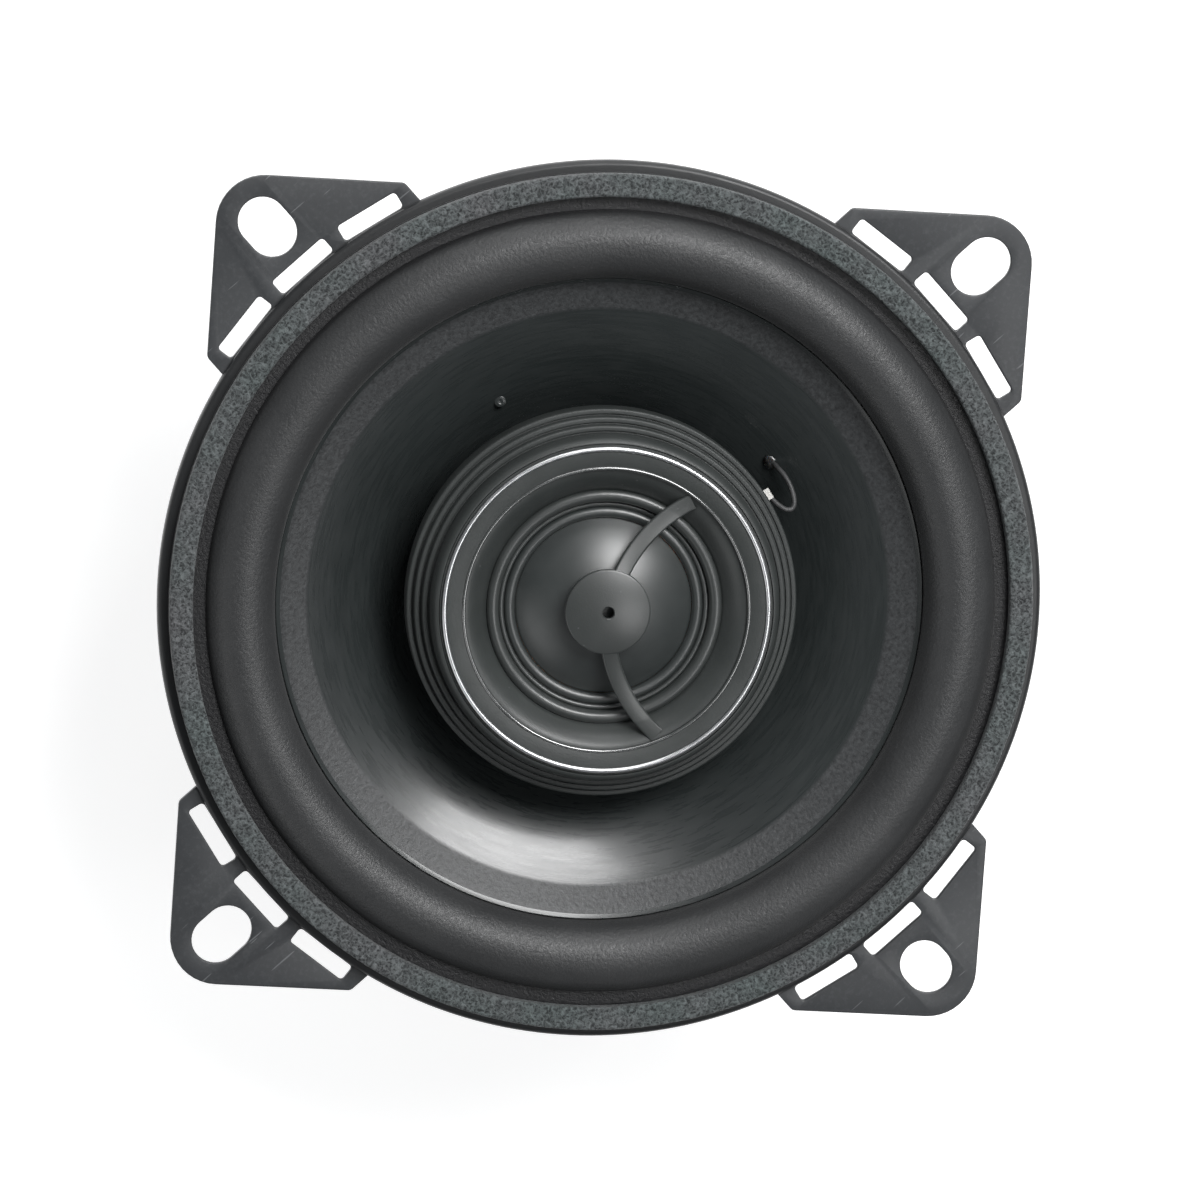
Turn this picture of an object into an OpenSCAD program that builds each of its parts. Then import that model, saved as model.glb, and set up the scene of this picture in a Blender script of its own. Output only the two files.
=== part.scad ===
// Two-way coaxial car loudspeaker with a pressed steel frame.
// Millimetres. +Z is the listening direction. z = 0 is the back of the mounting tabs, where the
// frame meets a panel, and the Z axis is the axis of the cone and of the tweeter.

/* [Frame] */
// Outside diameter of the raised rim
frame_d = 101; // [99:0.5:103]
// Diameter of the circle through the four mounting slots
slot_circle_d = 115; // [112:0.5:118]
// Width of a mounting slot
slot_w = 5.5; // [4:0.1:6]
// End-to-end length of three of the mounting slots
slot_length = 7.3; // [6.5:0.1:8]
// End-to-end length of the shorter slot, on the -Y tab
short_slot_length = 6.4; // [6:0.1:8]
// Thickness of the pressed steel sheet
sheet_t = 0.8; // [0.7:0.05:1]
// Side of the square that the tab corners lie on
tab_square = 93; // [91:0.5:95]
// Rounding of the tab corners
tab_corner_r = 5.5; // [4:0.5:7]

/* [Motor] */
// Outside diameter of the ferrite ring magnet
magnet_d = 70; // [64:1:72]
// Thickness of the magnet
magnet_h = 10; // [8:0.5:12]
// Diameter of the top plate and of the back plate
plate_d = 58; // [54:1:60]
// Thickness of each plate
plate_h = 4; // [3:0.5:5]
// Outside diameter of the pole
pole_d = 24.4; // [24:0.1:24.6]

/* [Cone] */
// Outside diameter of the cone
cone_d = 73.6; // [73:0.1:74]
// Thickness of the cone
cone_t = 0.6; // [0.4:0.05:0.8]
// Depth from the edge of the cone to its neck
cone_depth = 15.5; // [14:0.5:16]
// Radius of the half roll of the surround, at the middle of its sheet
roll_r = 3.8; // [3.3:0.1:3.9]

/* [Tweeter] */
// Diameter of the tweeter housing at its foot
housing_d = 44.6; // [44:0.1:45]
// Diameter of the dome
dome_d = 20.1; // [19.5:0.1:20.5]
// Diameter of the diffuser's round cap
cap_d = 9.7; // [8:0.1:11]
// Width of a diffuser arm
arm_w = 1.9; // [1.5:0.1:2.4]

/* [Hidden] */
$fn = 96;

// Colours.
steel_black = [0.13, 0.135, 0.14];
plated_steel = [0.70, 0.70, 0.68];
ferrite_grey = [0.20, 0.20, 0.21];
foam_grey = [0.30, 0.31, 0.31];
rubber_black = [0.10, 0.10, 0.105];
plastic_black = [0.15, 0.155, 0.16];
copper = [0.72, 0.40, 0.22];
kapton = [0.62, 0.36, 0.12];
tinned = [0.78, 0.78, 0.76];

// A gap between glued or pressed parts, so that neighbours touch without sharing material.
fit = 0.05;

// ---- Levels along Z ----
rim_top = 2 * sheet_t;                  // top of the raised landing round the rim
landing_under = sheet_t;                // underside of that landing
surround_t = 0.5;
gasket_h = 1.8;
gasket_foot = rim_top + surround_t;
spider_seat = -16.2;                    // landing that the spider is glued to
flange_top = -22.6;                     // top of the frame's bottom flange
flange_under = flange_top - sheet_t;    // the top plate starts here
magnet_top = flange_under - plate_h;
back_top = magnet_top - magnet_h;
back_under = back_top - plate_h;        // the face that the part rests on
coil_mid = flange_under - plate_h / 2;

// ---- Radii of the frame ----
rim_r = frame_d / 2;
landing_r = 44.6;
flange_bore_r = 14.2;
spoke_angle = 45;                       // the four spokes stand between the tabs
window_count = 4;

// ---- Cone ----
cone_r = cone_d / 2;
lip_w = 3;                              // straight outer band of the cone
lip_r = cone_r - lip_w;
lip_drop = 1.05;                        // the band falls this much towards the neck
neck_r = 12.85;
former_r = 12.8;
former_t = 0.2;

// ---- Helpers ----
function unit(v) = v / norm(v);

// Points of an arc from angle a0 to a1 round a centre.
function arc(c, r, a0, a1, n = 8) =
    [for (i = [0:n]) let (a = a0 + (a1 - a0) * i / n) c + r * [cos(a), sin(a)]];

// One corner p of a polygon, between its neighbours, rounded to radius r.
function corner(before, p, after, r, n = 6) =
    let (u = unit(before - p), v = unit(after - p), half = acos(u * v) / 2,
         c = p + unit(u + v) * r / sin(half),
         a = p + u * r / tan(half), b = p + v * r / tan(half),
         a0 = atan2(a.y - c.y, a.x - c.x), turn = atan2(b.y - c.y, b.x - c.x) - a0,
         sweep = turn > 180 ? turn - 360 : turn < -180 ? turn + 360 : turn)
    r <= 0 ? [p] : arc(c, r, a0, a0 + sweep, n);

// A polygon with each corner rounded to its own radius.
function rounded(points, radii) =
    let (n = len(points))
    [for (i = [0:n - 1]) each corner(points[(i + n - 1) % n], points[i], points[(i + 1) % n], radii[i])];

function reversed(list) = [for (i = [len(list) - 1:-1:0]) list[i]];

module turned(points) {
    rotate_extrude() polygon(points);
}

module ring(r_in, r_out, z0, z1) {
    turned([[r_in, z0], [r_out, z0], [r_out, z1], [r_in, z1]]);
}

// A ring with its two outer edges and its two inner edges chamfered.
module chamfered_ring(r_in, r_out, z0, z1, c) {
    turned([[r_in + c, z0], [r_out - c, z0], [r_out, z0 + c], [r_out, z1 - c],
            [r_out - c, z1], [r_in + c, z1], [r_in, z1 - c], [r_in, z0 + c]]);
}

// A radial slot with round ends, standing on the +X axis at radius r.
module radial_slot(r, length, width, z0, z1) {
    half = (length - width) / 2;
    translate([0, 0, z0]) linear_extrude(z1 - z0) {
        translate([r - half, 0]) circle(d = width);
        translate([r + half, 0]) circle(d = width);
        translate([r - half, -width / 2]) square([2 * half, width]);
    }
}

// A bar with rounded corners in the YZ plane, from x0 to x1.
module plate_yz(points, radii, x0, x1) {
    translate([x0, 0, 0]) rotate([90, 0, 90]) linear_extrude(x1 - x0) polygon(rounded(points, radii));
}

function box_points(y0, y1, z0, z1) = [[y0, z0], [y1, z0], [y1, z1], [y0, z1]];

// [radius, angle, height] to a point.
function polar(p) = [p[0] * cos(p[1]), p[0] * sin(p[1]), p[2]];

// A smooth curve through a list of points, with steps pieces between neighbours.
function between(a, b, c, d, t) =
    0.5 * (2 * b + (c - a) * t + (2 * a - 5 * b + 4 * c - d) * t * t + (3 * b - a - 3 * c + d) * t * t * t);
function curve(p, steps = 4) =
    let (n = len(p))
    [for (i = [0:n - 2]) for (k = [0:steps - 1])
        between(p[max(i - 1, 0)], p[i], p[i + 1], p[min(i + 2, n - 1)], k / steps), p[n - 1]];

// A round wire of radius r swept along a path.
module wire(path, r, sides = 8) {
    n = len(path);
    rings = [for (i = [0:n - 1])
        let (t = unit(path[min(i + 1, n - 1)] - path[max(i - 1, 0)]),
             side = unit(cross(t, [0.13, 0.21, 1])), up = cross(side, t))
        for (k = [0:sides - 1]) path[i] + r * (cos(360 * k / sides) * side + sin(360 * k / sides) * up)];
    faces = concat(
        [[for (k = [sides - 1:-1:0]) k]],
        [for (i = [0:n - 2]) for (k = [0:sides - 1])
            let (a = i * sides + k, b = i * sides + (k + 1) % sides)
            each [[a, b, b + sides], [a, b + sides, a + sides]]],
        [[for (k = [0:sides - 1]) (n - 1) * sides + k]]);
    polyhedron(rings, faces);
}

// ---- Frame ----
wall = [[landing_r, rim_top], [43.6, 0.6], [38.0, -10.2], [32.4, spider_seat], [27.2, spider_seat],
        [24.6, flange_top], [flange_bore_r, flange_top]];
wall_back = [[flange_bore_r, flange_under], [25.2, flange_under], [27.8, spider_seat - sheet_t],
             [32.8, spider_seat - sheet_t], [38.7, -10.6], [44.5, 0.4], [44.9, landing_under]];

module basket_shell() {
    turned(concat([[rim_r, 0], [rim_r, rim_top]], wall, wall_back,
                  [[rim_r - sheet_t, landing_under], [rim_r - sheet_t, 0]]));
}

tab_tip_r = tab_square / sqrt(2);
tab_half_w = 14.85;

module tab() {
    outline = [[rim_r - 2 * sheet_t, -tab_half_w], [tab_tip_r - tab_half_w, -tab_half_w], [tab_tip_r, 0],
               [tab_tip_r - tab_half_w, tab_half_w], [rim_r - 2 * sheet_t, tab_half_w]];
    linear_extrude(sheet_t) polygon(rounded(outline, [0, 0.9, tab_corner_r, 0.9, 0]));
}

// Three rounded windows between a tab and the rim leave narrow bridges.
tab_window = [2.0, 7.6];
tab_window_step = 10.5;

module tab_windows() {
    for (i = [-1:1]) rotate(i * tab_window_step) translate([rim_r + tab_window.x / 2, 0, -1])
        linear_extrude(sheet_t + 2)
            polygon(rounded([[-1, -3.8], [1, -3.8], [1, 3.8], [-1, 3.8]], [0.45, 0.45, 0.45, 0.45]));
}

window_top = -2.4;
window_foot = -14.6;

module spoke_window() {
    plate_yz([[-15.5, window_foot], [15.5, window_foot], [21, window_top], [-21, window_top]],
             [3, 3, 3, 3], 27.5, 49);
}

// Four rivets hold the frame's bottom flange on the top plate.
rivet_circle_r = 19.5;
rivet_shank_r = 1.5;

module at_rivets() {
    for (q = [0:3]) rotate(90 * q + spoke_angle) translate([rivet_circle_r, 0, 0]) children();
}

flap_half_w = 2.6;
flap_x = 41.6;                          // the flap stands on the spoke and carries the board
rivet_z = -7.8;

module basket() {
    color(steel_black) difference() {
        union() {
            basket_shell();
            difference() {
                for (q = [0:3]) rotate(90 * q) tab();
                translate([0, 0, -1]) cylinder(r = rim_r - sheet_t / 2, h = sheet_t + 2);
            }
            rotate(spoke_angle) translate([flap_x, -flap_half_w, -11.8])
                cube([sheet_t, 2 * flap_half_w, 8.6]);
        }
        for (q = [0:3]) rotate(90 * q) {
            tab_windows();
            radial_slot(slot_circle_d / 2, q == 3 ? short_slot_length : slot_length, slot_w, -1, 2);
        }
        for (q = [0:window_count - 1]) rotate(360 * q / window_count) spoke_window();
        at_rivets() translate([0, 0, flange_under - 1]) cylinder(r = rivet_shank_r, h = 3);
        rotate(spoke_angle) translate([40, 0, rivet_z]) rotate([0, 90, 0]) cylinder(r = 1.1, h = 4);
    }
}

seal_r = 49.3;                          // outer edge of the surround and of the gasket on it

module gasket() {
    color(foam_grey) chamfered_ring(46.6, seal_r, gasket_foot, gasket_foot + gasket_h, 0.35);
}

module flange_rivets() {
    color(plated_steel) at_rivets() {
        translate([0, 0, flange_top]) cylinder(r1 = 2.3, r2 = 1.7, h = 0.8);
        translate([0, 0, flange_under - 2.4]) cylinder(r = rivet_shank_r - fit, h = 3.2);
    }
}

// ---- Motor ----
gap_outer_r = 13.6;
screw_hole_r = 2.3;
screw_seat = back_under + 2.8;

module top_plate() {
    color(plated_steel) difference() {
        chamfered_ring(gap_outer_r, plate_d / 2, magnet_top, flange_under, 0.3);
        at_rivets() translate([0, 0, flange_under - 2.5]) cylinder(r = rivet_shank_r, h = 4);
    }
}

module ring_magnet() {
    color(ferrite_grey) chamfered_ring(16, magnet_d / 2, back_top, magnet_top, 0.7);
}

module yoke() {
    plate_r = plate_d / 2;
    color(plated_steel) turned([[4.7, back_under], [plate_r - 1.2, back_under], [plate_r, back_under + 1.2],
        [plate_r, back_top], [pole_d / 2, back_top], [pole_d / 2, flange_under - 0.4],
        [pole_d / 2 - 0.4, flange_under], [screw_hole_r, flange_under],
        [screw_hole_r, screw_seat], [4.7, screw_seat]]);
}

// ---- Surround, cone and spider ----
flange_slope = lip_drop / lip_w;        // the inner flange is glued under the cone's outer band
flange_in = cone_r - 1.9;
roll_centre = [41.2, 1];                // middle of the half roll's section

// One side of the half roll: up from the cone's edge, then over to level z on the frame.
function roll_side(r, z) = arc(roll_centre, r, 180, asin((z - roll_centre.y) / r), 18);

module surround() {
    half = surround_t / 2;
    drop = flange_slope * (cone_r - flange_in);
    top = concat([[flange_in, -cone_t - drop], [cone_r, -cone_t], [roll_centre.x - roll_r - half, -cone_t]],
                 roll_side(roll_r + half, gasket_foot), [[seal_r, gasket_foot]]);
    under = concat([[flange_in, -cone_t - drop - surround_t], [cone_r, -cone_t - surround_t],
                    [roll_centre.x - roll_r + half, -cone_t - surround_t]],
                   roll_side(roll_r - half, rim_top), [[seal_r, rim_top]]);
    color(rubber_black) turned(concat(top, reversed(under)));
}

// Front face of the cone at radius r: a straight outer band, then a slope that steepens to the neck.
function cone_z(r) =
    let (t = (lip_r - r) / (lip_r - neck_r))
    r > lip_r ? -lip_drop * (cone_r - r) / (cone_r - lip_r)
              : -lip_drop - (cone_depth - lip_drop) * (0.5 * t + 0.5 * t * t);
cone_steps = 18;
cone_line = [for (i = [0:cone_steps]) let (r = lip_r - (lip_r - neck_r) * i / cone_steps) [r, cone_z(r)]];

// Places of the holes in the cone: [radius, angle].
woofer_eyelets = [[24.7, 75], [21, 15]];
tweeter_holes = [[25.1, -5], [20.8, 9]];
wire_r = 0.3;

module cone() {
    neck_foot = -cone_depth - 1.6;
    lip_under = -cone_t - flange_slope * (cone_r - lip_r);
    wall_t = -lip_drop - lip_under;
    color(rubber_black) difference() {
        turned(concat([[cone_r, -cone_t], [cone_r, 0]], cone_line, [[neck_r, neck_foot],
            [neck_r + cone_t, neck_foot], [neck_r + cone_t, -cone_depth - 0.1]],
            reversed([for (p = cone_line) if (p.x > neck_r + cone_t) [p.x, p.y - wall_t]])));
        for (e = woofer_eyelets) rotate(e[1]) translate([e[0], 0, -12]) cylinder(r = 0.75, h = 12);
        for (e = tweeter_holes) rotate(e[1]) translate([e[0], 0, -12]) cylinder(r = wire_r + 0.25, h = 12);
    }
}

module cone_eyelets() {
    color(tinned) for (e = woofer_eyelets) rotate(e[1]) translate([e[0], 0, cone_z(e[0])]) {
        translate([0, 0, -1.9]) cylinder(r = 0.7, h = 2.5);
        translate([0, 0, -2.4]) cylinder(r = 1.1, h = 0.6);
        translate([0, 0, 0.55]) cylinder(r1 = 0.7, r2 = 0.45, h = 0.25);
    }
}

module coil_former() {
    color(kapton) ring(former_r - former_t, former_r, coil_mid - 5.2, -cone_depth + 1.4);
}

module voice_coil() {
    color(copper) ring(former_r + fit / 5, former_r + 0.4, coil_mid - 4.2, coil_mid + 4.2);
}

spider_in = neck_r + cone_t + 0.1;
spider_out = 31.6;
spider_t = 0.4;
spider_rolls = 5;
spider_roll_in = 15.2;
spider_roll_out = 26.4;
spider_z = spider_seat + spider_t / 2;

// Middle line of the corrugated spider: a sine that fades in and out at its two ends.
function spider_mid(r) =
    let (t = (r - spider_roll_in) / (spider_roll_out - spider_roll_in))
    spider_z + (t < 0 || t > 1 ? 0 : 0.75 * sin(360 * spider_rolls * t));

module spider() {
    steps = spider_rolls * 8;
    roll_w = spider_roll_out - spider_roll_in;
    line = concat([spider_in], [for (i = [0:steps]) spider_roll_in + roll_w * i / steps], [spider_out]);
    color([0.55, 0.45, 0.25]) turned(concat([for (r = line) [r, spider_mid(r) + spider_t / 2]],
                                            reversed([for (r = line) [r, spider_mid(r) - spider_t / 2]])));
}

// ---- Tweeter post and screw ----
base_under = -5.2;
base_t = 1.4;
post_foot_r = 10.4;
post_r = 6.5;
post_bore_r = 2.05;

module tweeter_post() {
    foot_top = flange_under + 2;
    spigot_r = 4;
    bore_end = -8;
    color(plastic_black) turned([[post_bore_r, flange_under], [post_foot_r, flange_under],
        [post_foot_r, foot_top], [post_r + 0.8, foot_top + 0.6], [post_r, foot_top + 2],
        [post_r, base_under], [spigot_r, base_under], [spigot_r, base_under + base_t],
        [0, base_under + base_t], [0, bore_end], [post_bore_r, bore_end]]);
}

module post_screw() {
    head_h = 2.2;
    color(plated_steel) difference() {
        union() {
            turned([[0, screw_seat - head_h], [2.6, screw_seat - head_h], [3.8, screw_seat - 1.2],
                    [3.8, screw_seat], [0, screw_seat]]);
            translate([0, 0, screw_seat]) cylinder(r = 2, h = -9 - screw_seat);
        }
        for (a = [0, 90]) rotate(a) translate([-1.9, -0.45, screw_seat - head_h - 1]) cube([3.8, 0.9, 2.4]);
    }
}

// ---- Tweeter ----
housing_foot = -1.2;
housing_r = housing_d / 2;
housing_bore_r = 19;
step_w = 0.8;
step_h = 1.1;
step_count = 3;
first_step_z = 1.9;
groove_w = 0.22;                        // a fine groove at the foot of each step
shoulder_r = housing_r - step_count * step_w;
face_z = 6.75;
shoulder = [0.85, 1.6];                 // width and height of the rounded top edge

module tweeter_housing() {
    steps = [for (i = [0:step_count - 1])
        let (r = housing_r - i * step_w, z = first_step_z + i * step_h)
        each [[r, z - 0.15], [r - 0.15, z], [r - step_w + groove_w, z], [r - step_w + groove_w, z - groove_w],
              [r - step_w, z - groove_w]]];
    top = [for (a = [0:15:90])
        [shoulder_r + shoulder.x * (cos(a) - 1), face_z - 0.1 + shoulder.y * (sin(a) - 1)]];
    color(plastic_black) turned(concat([[housing_bore_r, housing_foot], [housing_r - 0.3, housing_foot],
        [housing_r, housing_foot + 0.3]], steps, top, [[housing_bore_r, face_z - 0.4]]));
}

well_r = 13.9;

module tweeter_base() {
    hub_r = 4 + fit;
    edge_r = housing_bore_r - fit;
    color(plastic_black) turned([[hub_r, base_under], [well_r, base_under], [well_r, housing_foot],
        [edge_r, housing_foot], [edge_r, 0], [well_r - base_t, 0], [well_r - base_t, cup_floor],
        [hub_r, cup_floor]]);
}

cup_floor = base_under + base_t;
cup_rim = cup_floor + 6;

module tweeter_yoke() {
    color(plated_steel) turned([[0, cup_floor], [12.4, cup_floor], [12.4, cup_rim], [10.7, cup_rim],
        [10.7, cup_floor + 1.5], [0, cup_floor + 1.5]]);
}

module tweeter_magnet() {
    color(tinned) translate([0, 0, cup_floor + 1.5]) cylinder(r = 8.8, h = 3);
}

module tweeter_pole_disc() {
    color(plated_steel) translate([0, 0, cup_floor + 4.5]) cylinder(r = 9.5, h = 1.5);
}

module damping_pad() {
    color(foam_grey) translate([0, 0, cup_rim]) cylinder(r = 7.5, h = 1.2);
}

dome_r = dome_d / 2;
dome_base = 3.3;
dome_sphere_r = 16.5;
dome_centre = dome_base - sqrt(dome_sphere_r * dome_sphere_r - dome_r * dome_r);
clamp_top = dome_base - 0.1;

// Points on a sphere round the dome's own centre, from the axis out to radius r_out.
function dome_line(sphere_r, r_out, n = 14) =
    let (a = asin(r_out / sphere_r))
    [for (i = [0:n]) [sphere_r * sin(a * i / n), dome_centre + sphere_r * cos(a * i / n)]];

module dome_clamp_ring() {
    color(plastic_black) ring(11.3, 13.4, cup_rim, clamp_top);
}

module tweeter_surround() {
    t = 0.15;
    line = arc([10.75, clamp_top + t / 2], 0.55, 180, 0, 10);
    upper = concat([[dome_r + fit, clamp_top + t]], [for (p = line) p + [0, t / 2]], [[12.4, clamp_top + t]]);
    lower = concat([[dome_r + fit, clamp_top]], [for (p = line) p - [0, t / 2]], [[12.4, clamp_top]]);
    color(rubber_black) turned(concat(upper, reversed(lower)));
}

module tweeter_dome() {
    color([0.20, 0.21, 0.22]) turned(concat(dome_line(dome_sphere_r, dome_r),
        [[dome_r, dome_base - 0.1], [dome_r - 0.3, dome_base - 0.1]],
        reversed(dome_line(dome_sphere_r - 0.2, dome_r - 0.3))));
}

module tweeter_coil_former() {
    color(kapton) ring(dome_r - 0.2, dome_r - 0.05, cup_floor + 4, dome_base - 0.1 - fit);
}

module tweeter_voice_coil() {
    color(copper) ring(dome_r - 0.05 + fit / 5, dome_r + 0.3, cup_floor + 4.5, cup_rim);
}

// Front plate: a fine bead and a rounded lip round the dome, a flare, and a flat ring face.
flare_in = [13.4, 4.2];
flare_out = [16.05, face_z - 0.35];
edge_bead_r = 0.2;                      // small raised bead round the inner edge of the ring face
face_r = 18.15;
skirt_r = housing_bore_r - fit;
trim_r = 0.28;
ring_seat = face_z + 0.05 - trim_r;     // the chromed ring lies on this shoulder
function flare_z(r) =
    let (t = (flare_out.x - r) / (flare_out.x - flare_in.x))
    flare_in.y + (flare_out.y - flare_in.y) * (1 - pow(max(t, 0), 1.6));

module tweeter_faceplate() {
    under = clamp_top + 0.15;
    lip = concat(arc([11.7, under + 0.15], 0.3, 180, 20, 6), arc([12.75, under + 0.75], 0.72, 165, 25, 8));
    flare = [for (i = [0:8]) let (r = flare_in.x + (flare_out.x - flare_in.x) * i / 8) [r, flare_z(r)]];
    bead = arc([flare_out.x + edge_bead_r, face_z - 0.02], edge_bead_r, 180, 15, 6);
    color(plastic_black) turned(concat([[11.4, under]], lip, flare, bead,
        [[flare_out.x + 0.45, face_z], [face_r, face_z], [face_r, ring_seat], [skirt_r, ring_seat],
         [skirt_r, 0], [skirt_r - 1.6, 0], [skirt_r - 1.6, face_z - 1.4],
         [flare_out.x + 0.6, face_z - 1.4], [13.7, under]]));
}

module trim_ring() {
    color(tinned) rotate_extrude() translate([face_r + 0.02 + trim_r, ring_seat + trim_r]) circle(r = trim_r);
}

// Diffuser: a domed cap with a hole, held over the dome by two curved arms.
diffuser_angle = -49.5;
arm_t = 0.7;
arm_end_z = face_z - 0.25;
arm_drop = 1.4;                         // an arm falls this much from the cap to its foot
arm_foot_r = [14.4, 15, 15.65];         // the arm comes down onto the flare over these radii
function arm_top(r) =
    arm_end_z + arm_drop * pow((arm_foot_r[2] - r) / (arm_foot_r[2] - cap_d / 2), 2);
cap_under_r = dome_sphere_r + 1.1;

// Half angle of an arm from the diffuser's own axis, at radius r: the arm bends as it goes out.
function arm_angle(r) = 78.1 - 1.69 * (r - cap_d / 2);
arm_steps = 10;
arm_start_r = cap_d / 2 - 0.6;
arm_mid = [for (i = [0:arm_steps]) let (r = arm_start_r + (arm_foot_r[2] + 0.6 - arm_start_r) * i / arm_steps)
    r * [cos(arm_angle(r)), sin(arm_angle(r))]];
function arm_side(s) = [for (i = [0:arm_steps])
    let (d = unit(arm_mid[min(i + 1, arm_steps)] - arm_mid[max(i - 1, 0)]))
    arm_mid[i] + s * arm_w / 2 * [-d.y, d.x]];

module diffuser_arm() {
    translate([0, 0, flare_in.y]) linear_extrude(5) polygon(concat(arm_side(1), reversed(arm_side(-1))));
}

// Height of the arms at every radius: a fall over the dome, then a foot on the flare.
module arm_profile() {
    start_r = arm_start_r + 0.1;
    radii = [for (i = [0:8]) start_r + (arm_foot_r[0] - start_r) * i / 8];
    turned(concat([for (r = radii) [r, arm_top(r) - arm_t]],
                  [for (i = [1:2]) [arm_foot_r[i], flare_z(arm_foot_r[i]) + fit]],
                  [for (i = [2, 1]) [arm_foot_r[i], arm_top(arm_foot_r[i])]],
                  reversed([for (r = radii) [r, arm_top(r)]])));
}

module diffuser() {
    color(plastic_black) rotate(diffuser_angle) difference() {
        union() {
            turned(concat(dome_line(cap_under_r + 0.8, cap_d / 2),
                          reversed(dome_line(cap_under_r, cap_d / 2))));
            intersection() {
                union() {
                    diffuser_arm();
                    mirror([0, 1, 0]) diffuser_arm();
                }
                arm_profile();
            }
        }
        translate([0, 0, 5]) cylinder(r = 0.65, h = 5);
    }
}

// ---- Tweeter leads ----
tags = [[-10, 23], [4, 21.9]];         // [angle, outer end]
tag_in = 19.8;
tag_t = 0.5;

module tweeter_terminals() {
    color(tinned) for (t = tags) rotate(t[0]) translate([tag_in, -0.65, housing_foot - tag_t])
        cube([t[1] - tag_in, 1.3, tag_t]);
}

// Routes as [radius, angle, height].
pigtail_routes = [
    [[22.5, -10.1, -2.05], [22.8, -12.4, -2.1], [23.1, -14.6, -2.1], [23.6, -16.6, -2.1], [24.3, -17.3, -2.2],
     [24.9, -16, -2.4], [25.3, -12.8, -2.8], [25.4, -9.4, -3.4], [25.25, -6.6, -4.2], [25.1, -5, -5.6]],
    [[21.3, 4, -2.05], [20.9, 7, -2.4], [20.7, 10.4, -3.8], [20.6, 11, -5.6], [20.8, 9, -8.6]]];
feed_routes = [
    [[25.1, -5, -6], [25.3, -4.2, -8.4], [27, 1.8, -11], [31, 10.4, -12.2], [37.2, 20.4, -12.4],
     [40.6, 25.2, -13.2], [41.2, 28.4, -14.6], [40.1, 30.6, -15.4]],
    [[20.8, 9, -9], [21.2, 9.4, -10.6], [25, 12, -11.4], [31.5, 16, -11], [37.2, 21.2, -10.8],
     [41.8, 26, -10.6], [43.9, 29.4, -10.2], [44.6, 32.2, -9.9]]];

module tweeter_pigtails() {
    color(rubber_black) for (r = pigtail_routes) wire(curve([for (p = r) polar(p)]), wire_r);
}

module tweeter_feed_leads() {
    color(rubber_black) for (r = feed_routes) wire(curve([for (p = r) polar(p)]), wire_r);
}

// ---- Terminals, on the spoke at 45 degrees ----
board_in = flap_x + sheet_t;
board_out = board_in + 1.6;
blade_t = 0.8;
blade_y = 5;

module terminal_board() {
    color([0.16, 0.14, 0.12]) rotate(spoke_angle) difference() {
        plate_yz(box_points(-8.5, 8.5, -12.6, -4.3), [1.2, 1.2, 1.2, 1.2], board_in, board_out);
        for (y = [-blade_y, 0, blade_y]) translate([board_in - 1, y, rivet_z]) rotate([0, 90, 0])
            cylinder(r = 1.1, h = 4);
    }
}

rivet_head_t = 0.4;

// A hollow rivet along X through a stack from x0 to x1.
module tubular_rivet(y, x0, x1, head_r) {
    translate([x0, y, rivet_z]) rotate([0, 90, 0]) difference() {
        union() {
            translate([0, 0, -rivet_head_t]) cylinder(r = head_r, h = rivet_head_t);
            cylinder(r = 1.1 - fit, h = x1 - x0);
            translate([0, 0, x1 - x0]) cylinder(r = head_r - 0.1, h = rivet_head_t);
        }
        translate([0, 0, -1]) cylinder(r = 0.55, h = x1 - x0 + 2);
    }
}

module board_rivet() {
    color(plated_steel) rotate(spoke_angle) tubular_rivet(0, flap_x, board_out, 1.8);
}

module blade_rivets() {
    color(plated_steel) rotate(spoke_angle) for (y = [-blade_y, blade_y])
        tubular_rivet(y, board_in, board_out + blade_t, 1.8);
}

// A spade blade that points backwards, with an ear at its side for the soldered lead.
module blade(width, side) {
    outline = [[-width / 2, -19.4], [-width / 2 + 0.8, -20.4], [width / 2 - 0.8, -20.4], [width / 2, -19.4],
               [width / 2, -11], [2.4, -10.6], [4.6, -10.6], [5.6, -9.4], [5.6, -8.6], [4.6, -7.4],
               [2.4, -7.4], [2.4, -5], [-2.4, -5], [-2.4, -11], [-width / 2, -11.4]];
    rotate(spoke_angle) difference() {
        translate([board_out, side * blade_y, 0]) scale([1, side, 1]) rotate([90, 0, 90])
            linear_extrude(blade_t) polygon(outline);
        translate([board_out - 1, side * blade_y, rivet_z]) rotate([0, 90, 0]) cylinder(r = 1.1, h = 3);
        translate([board_out - 1, side * blade_y, -17.6]) rotate([0, 90, 0]) cylinder(r = 0.7, h = 3);
    }
}

module positive_blade() {
    color(tinned) blade(4.75, 1);
}

module negative_blade() {
    color(tinned) blade(2.8, -1);
}

capacitor_at = [38.75, -15.5];
capacitor_r = 3.15;
capacitor_l = 11;

module at_capacitor() {
    translate([capacitor_at.x, capacitor_l / 2, capacitor_at.y]) rotate([90, 0, 0]) children();
}

module crossover_capacitor() {
    rim = 0.3;
    r = capacitor_r;
    color([0.08, 0.10, 0.22]) rotate(spoke_angle) at_capacitor()
        turned([[0, 0.4], [r - 0.5, 0.4], [r - 0.6, 0], [r - rim, 0], [r, rim], [r, 1.6], [r - 0.35, 2],
                [r, 2.4], [r, capacitor_l - rim], [r - rim, capacitor_l], [0, capacitor_l]]);
}

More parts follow.
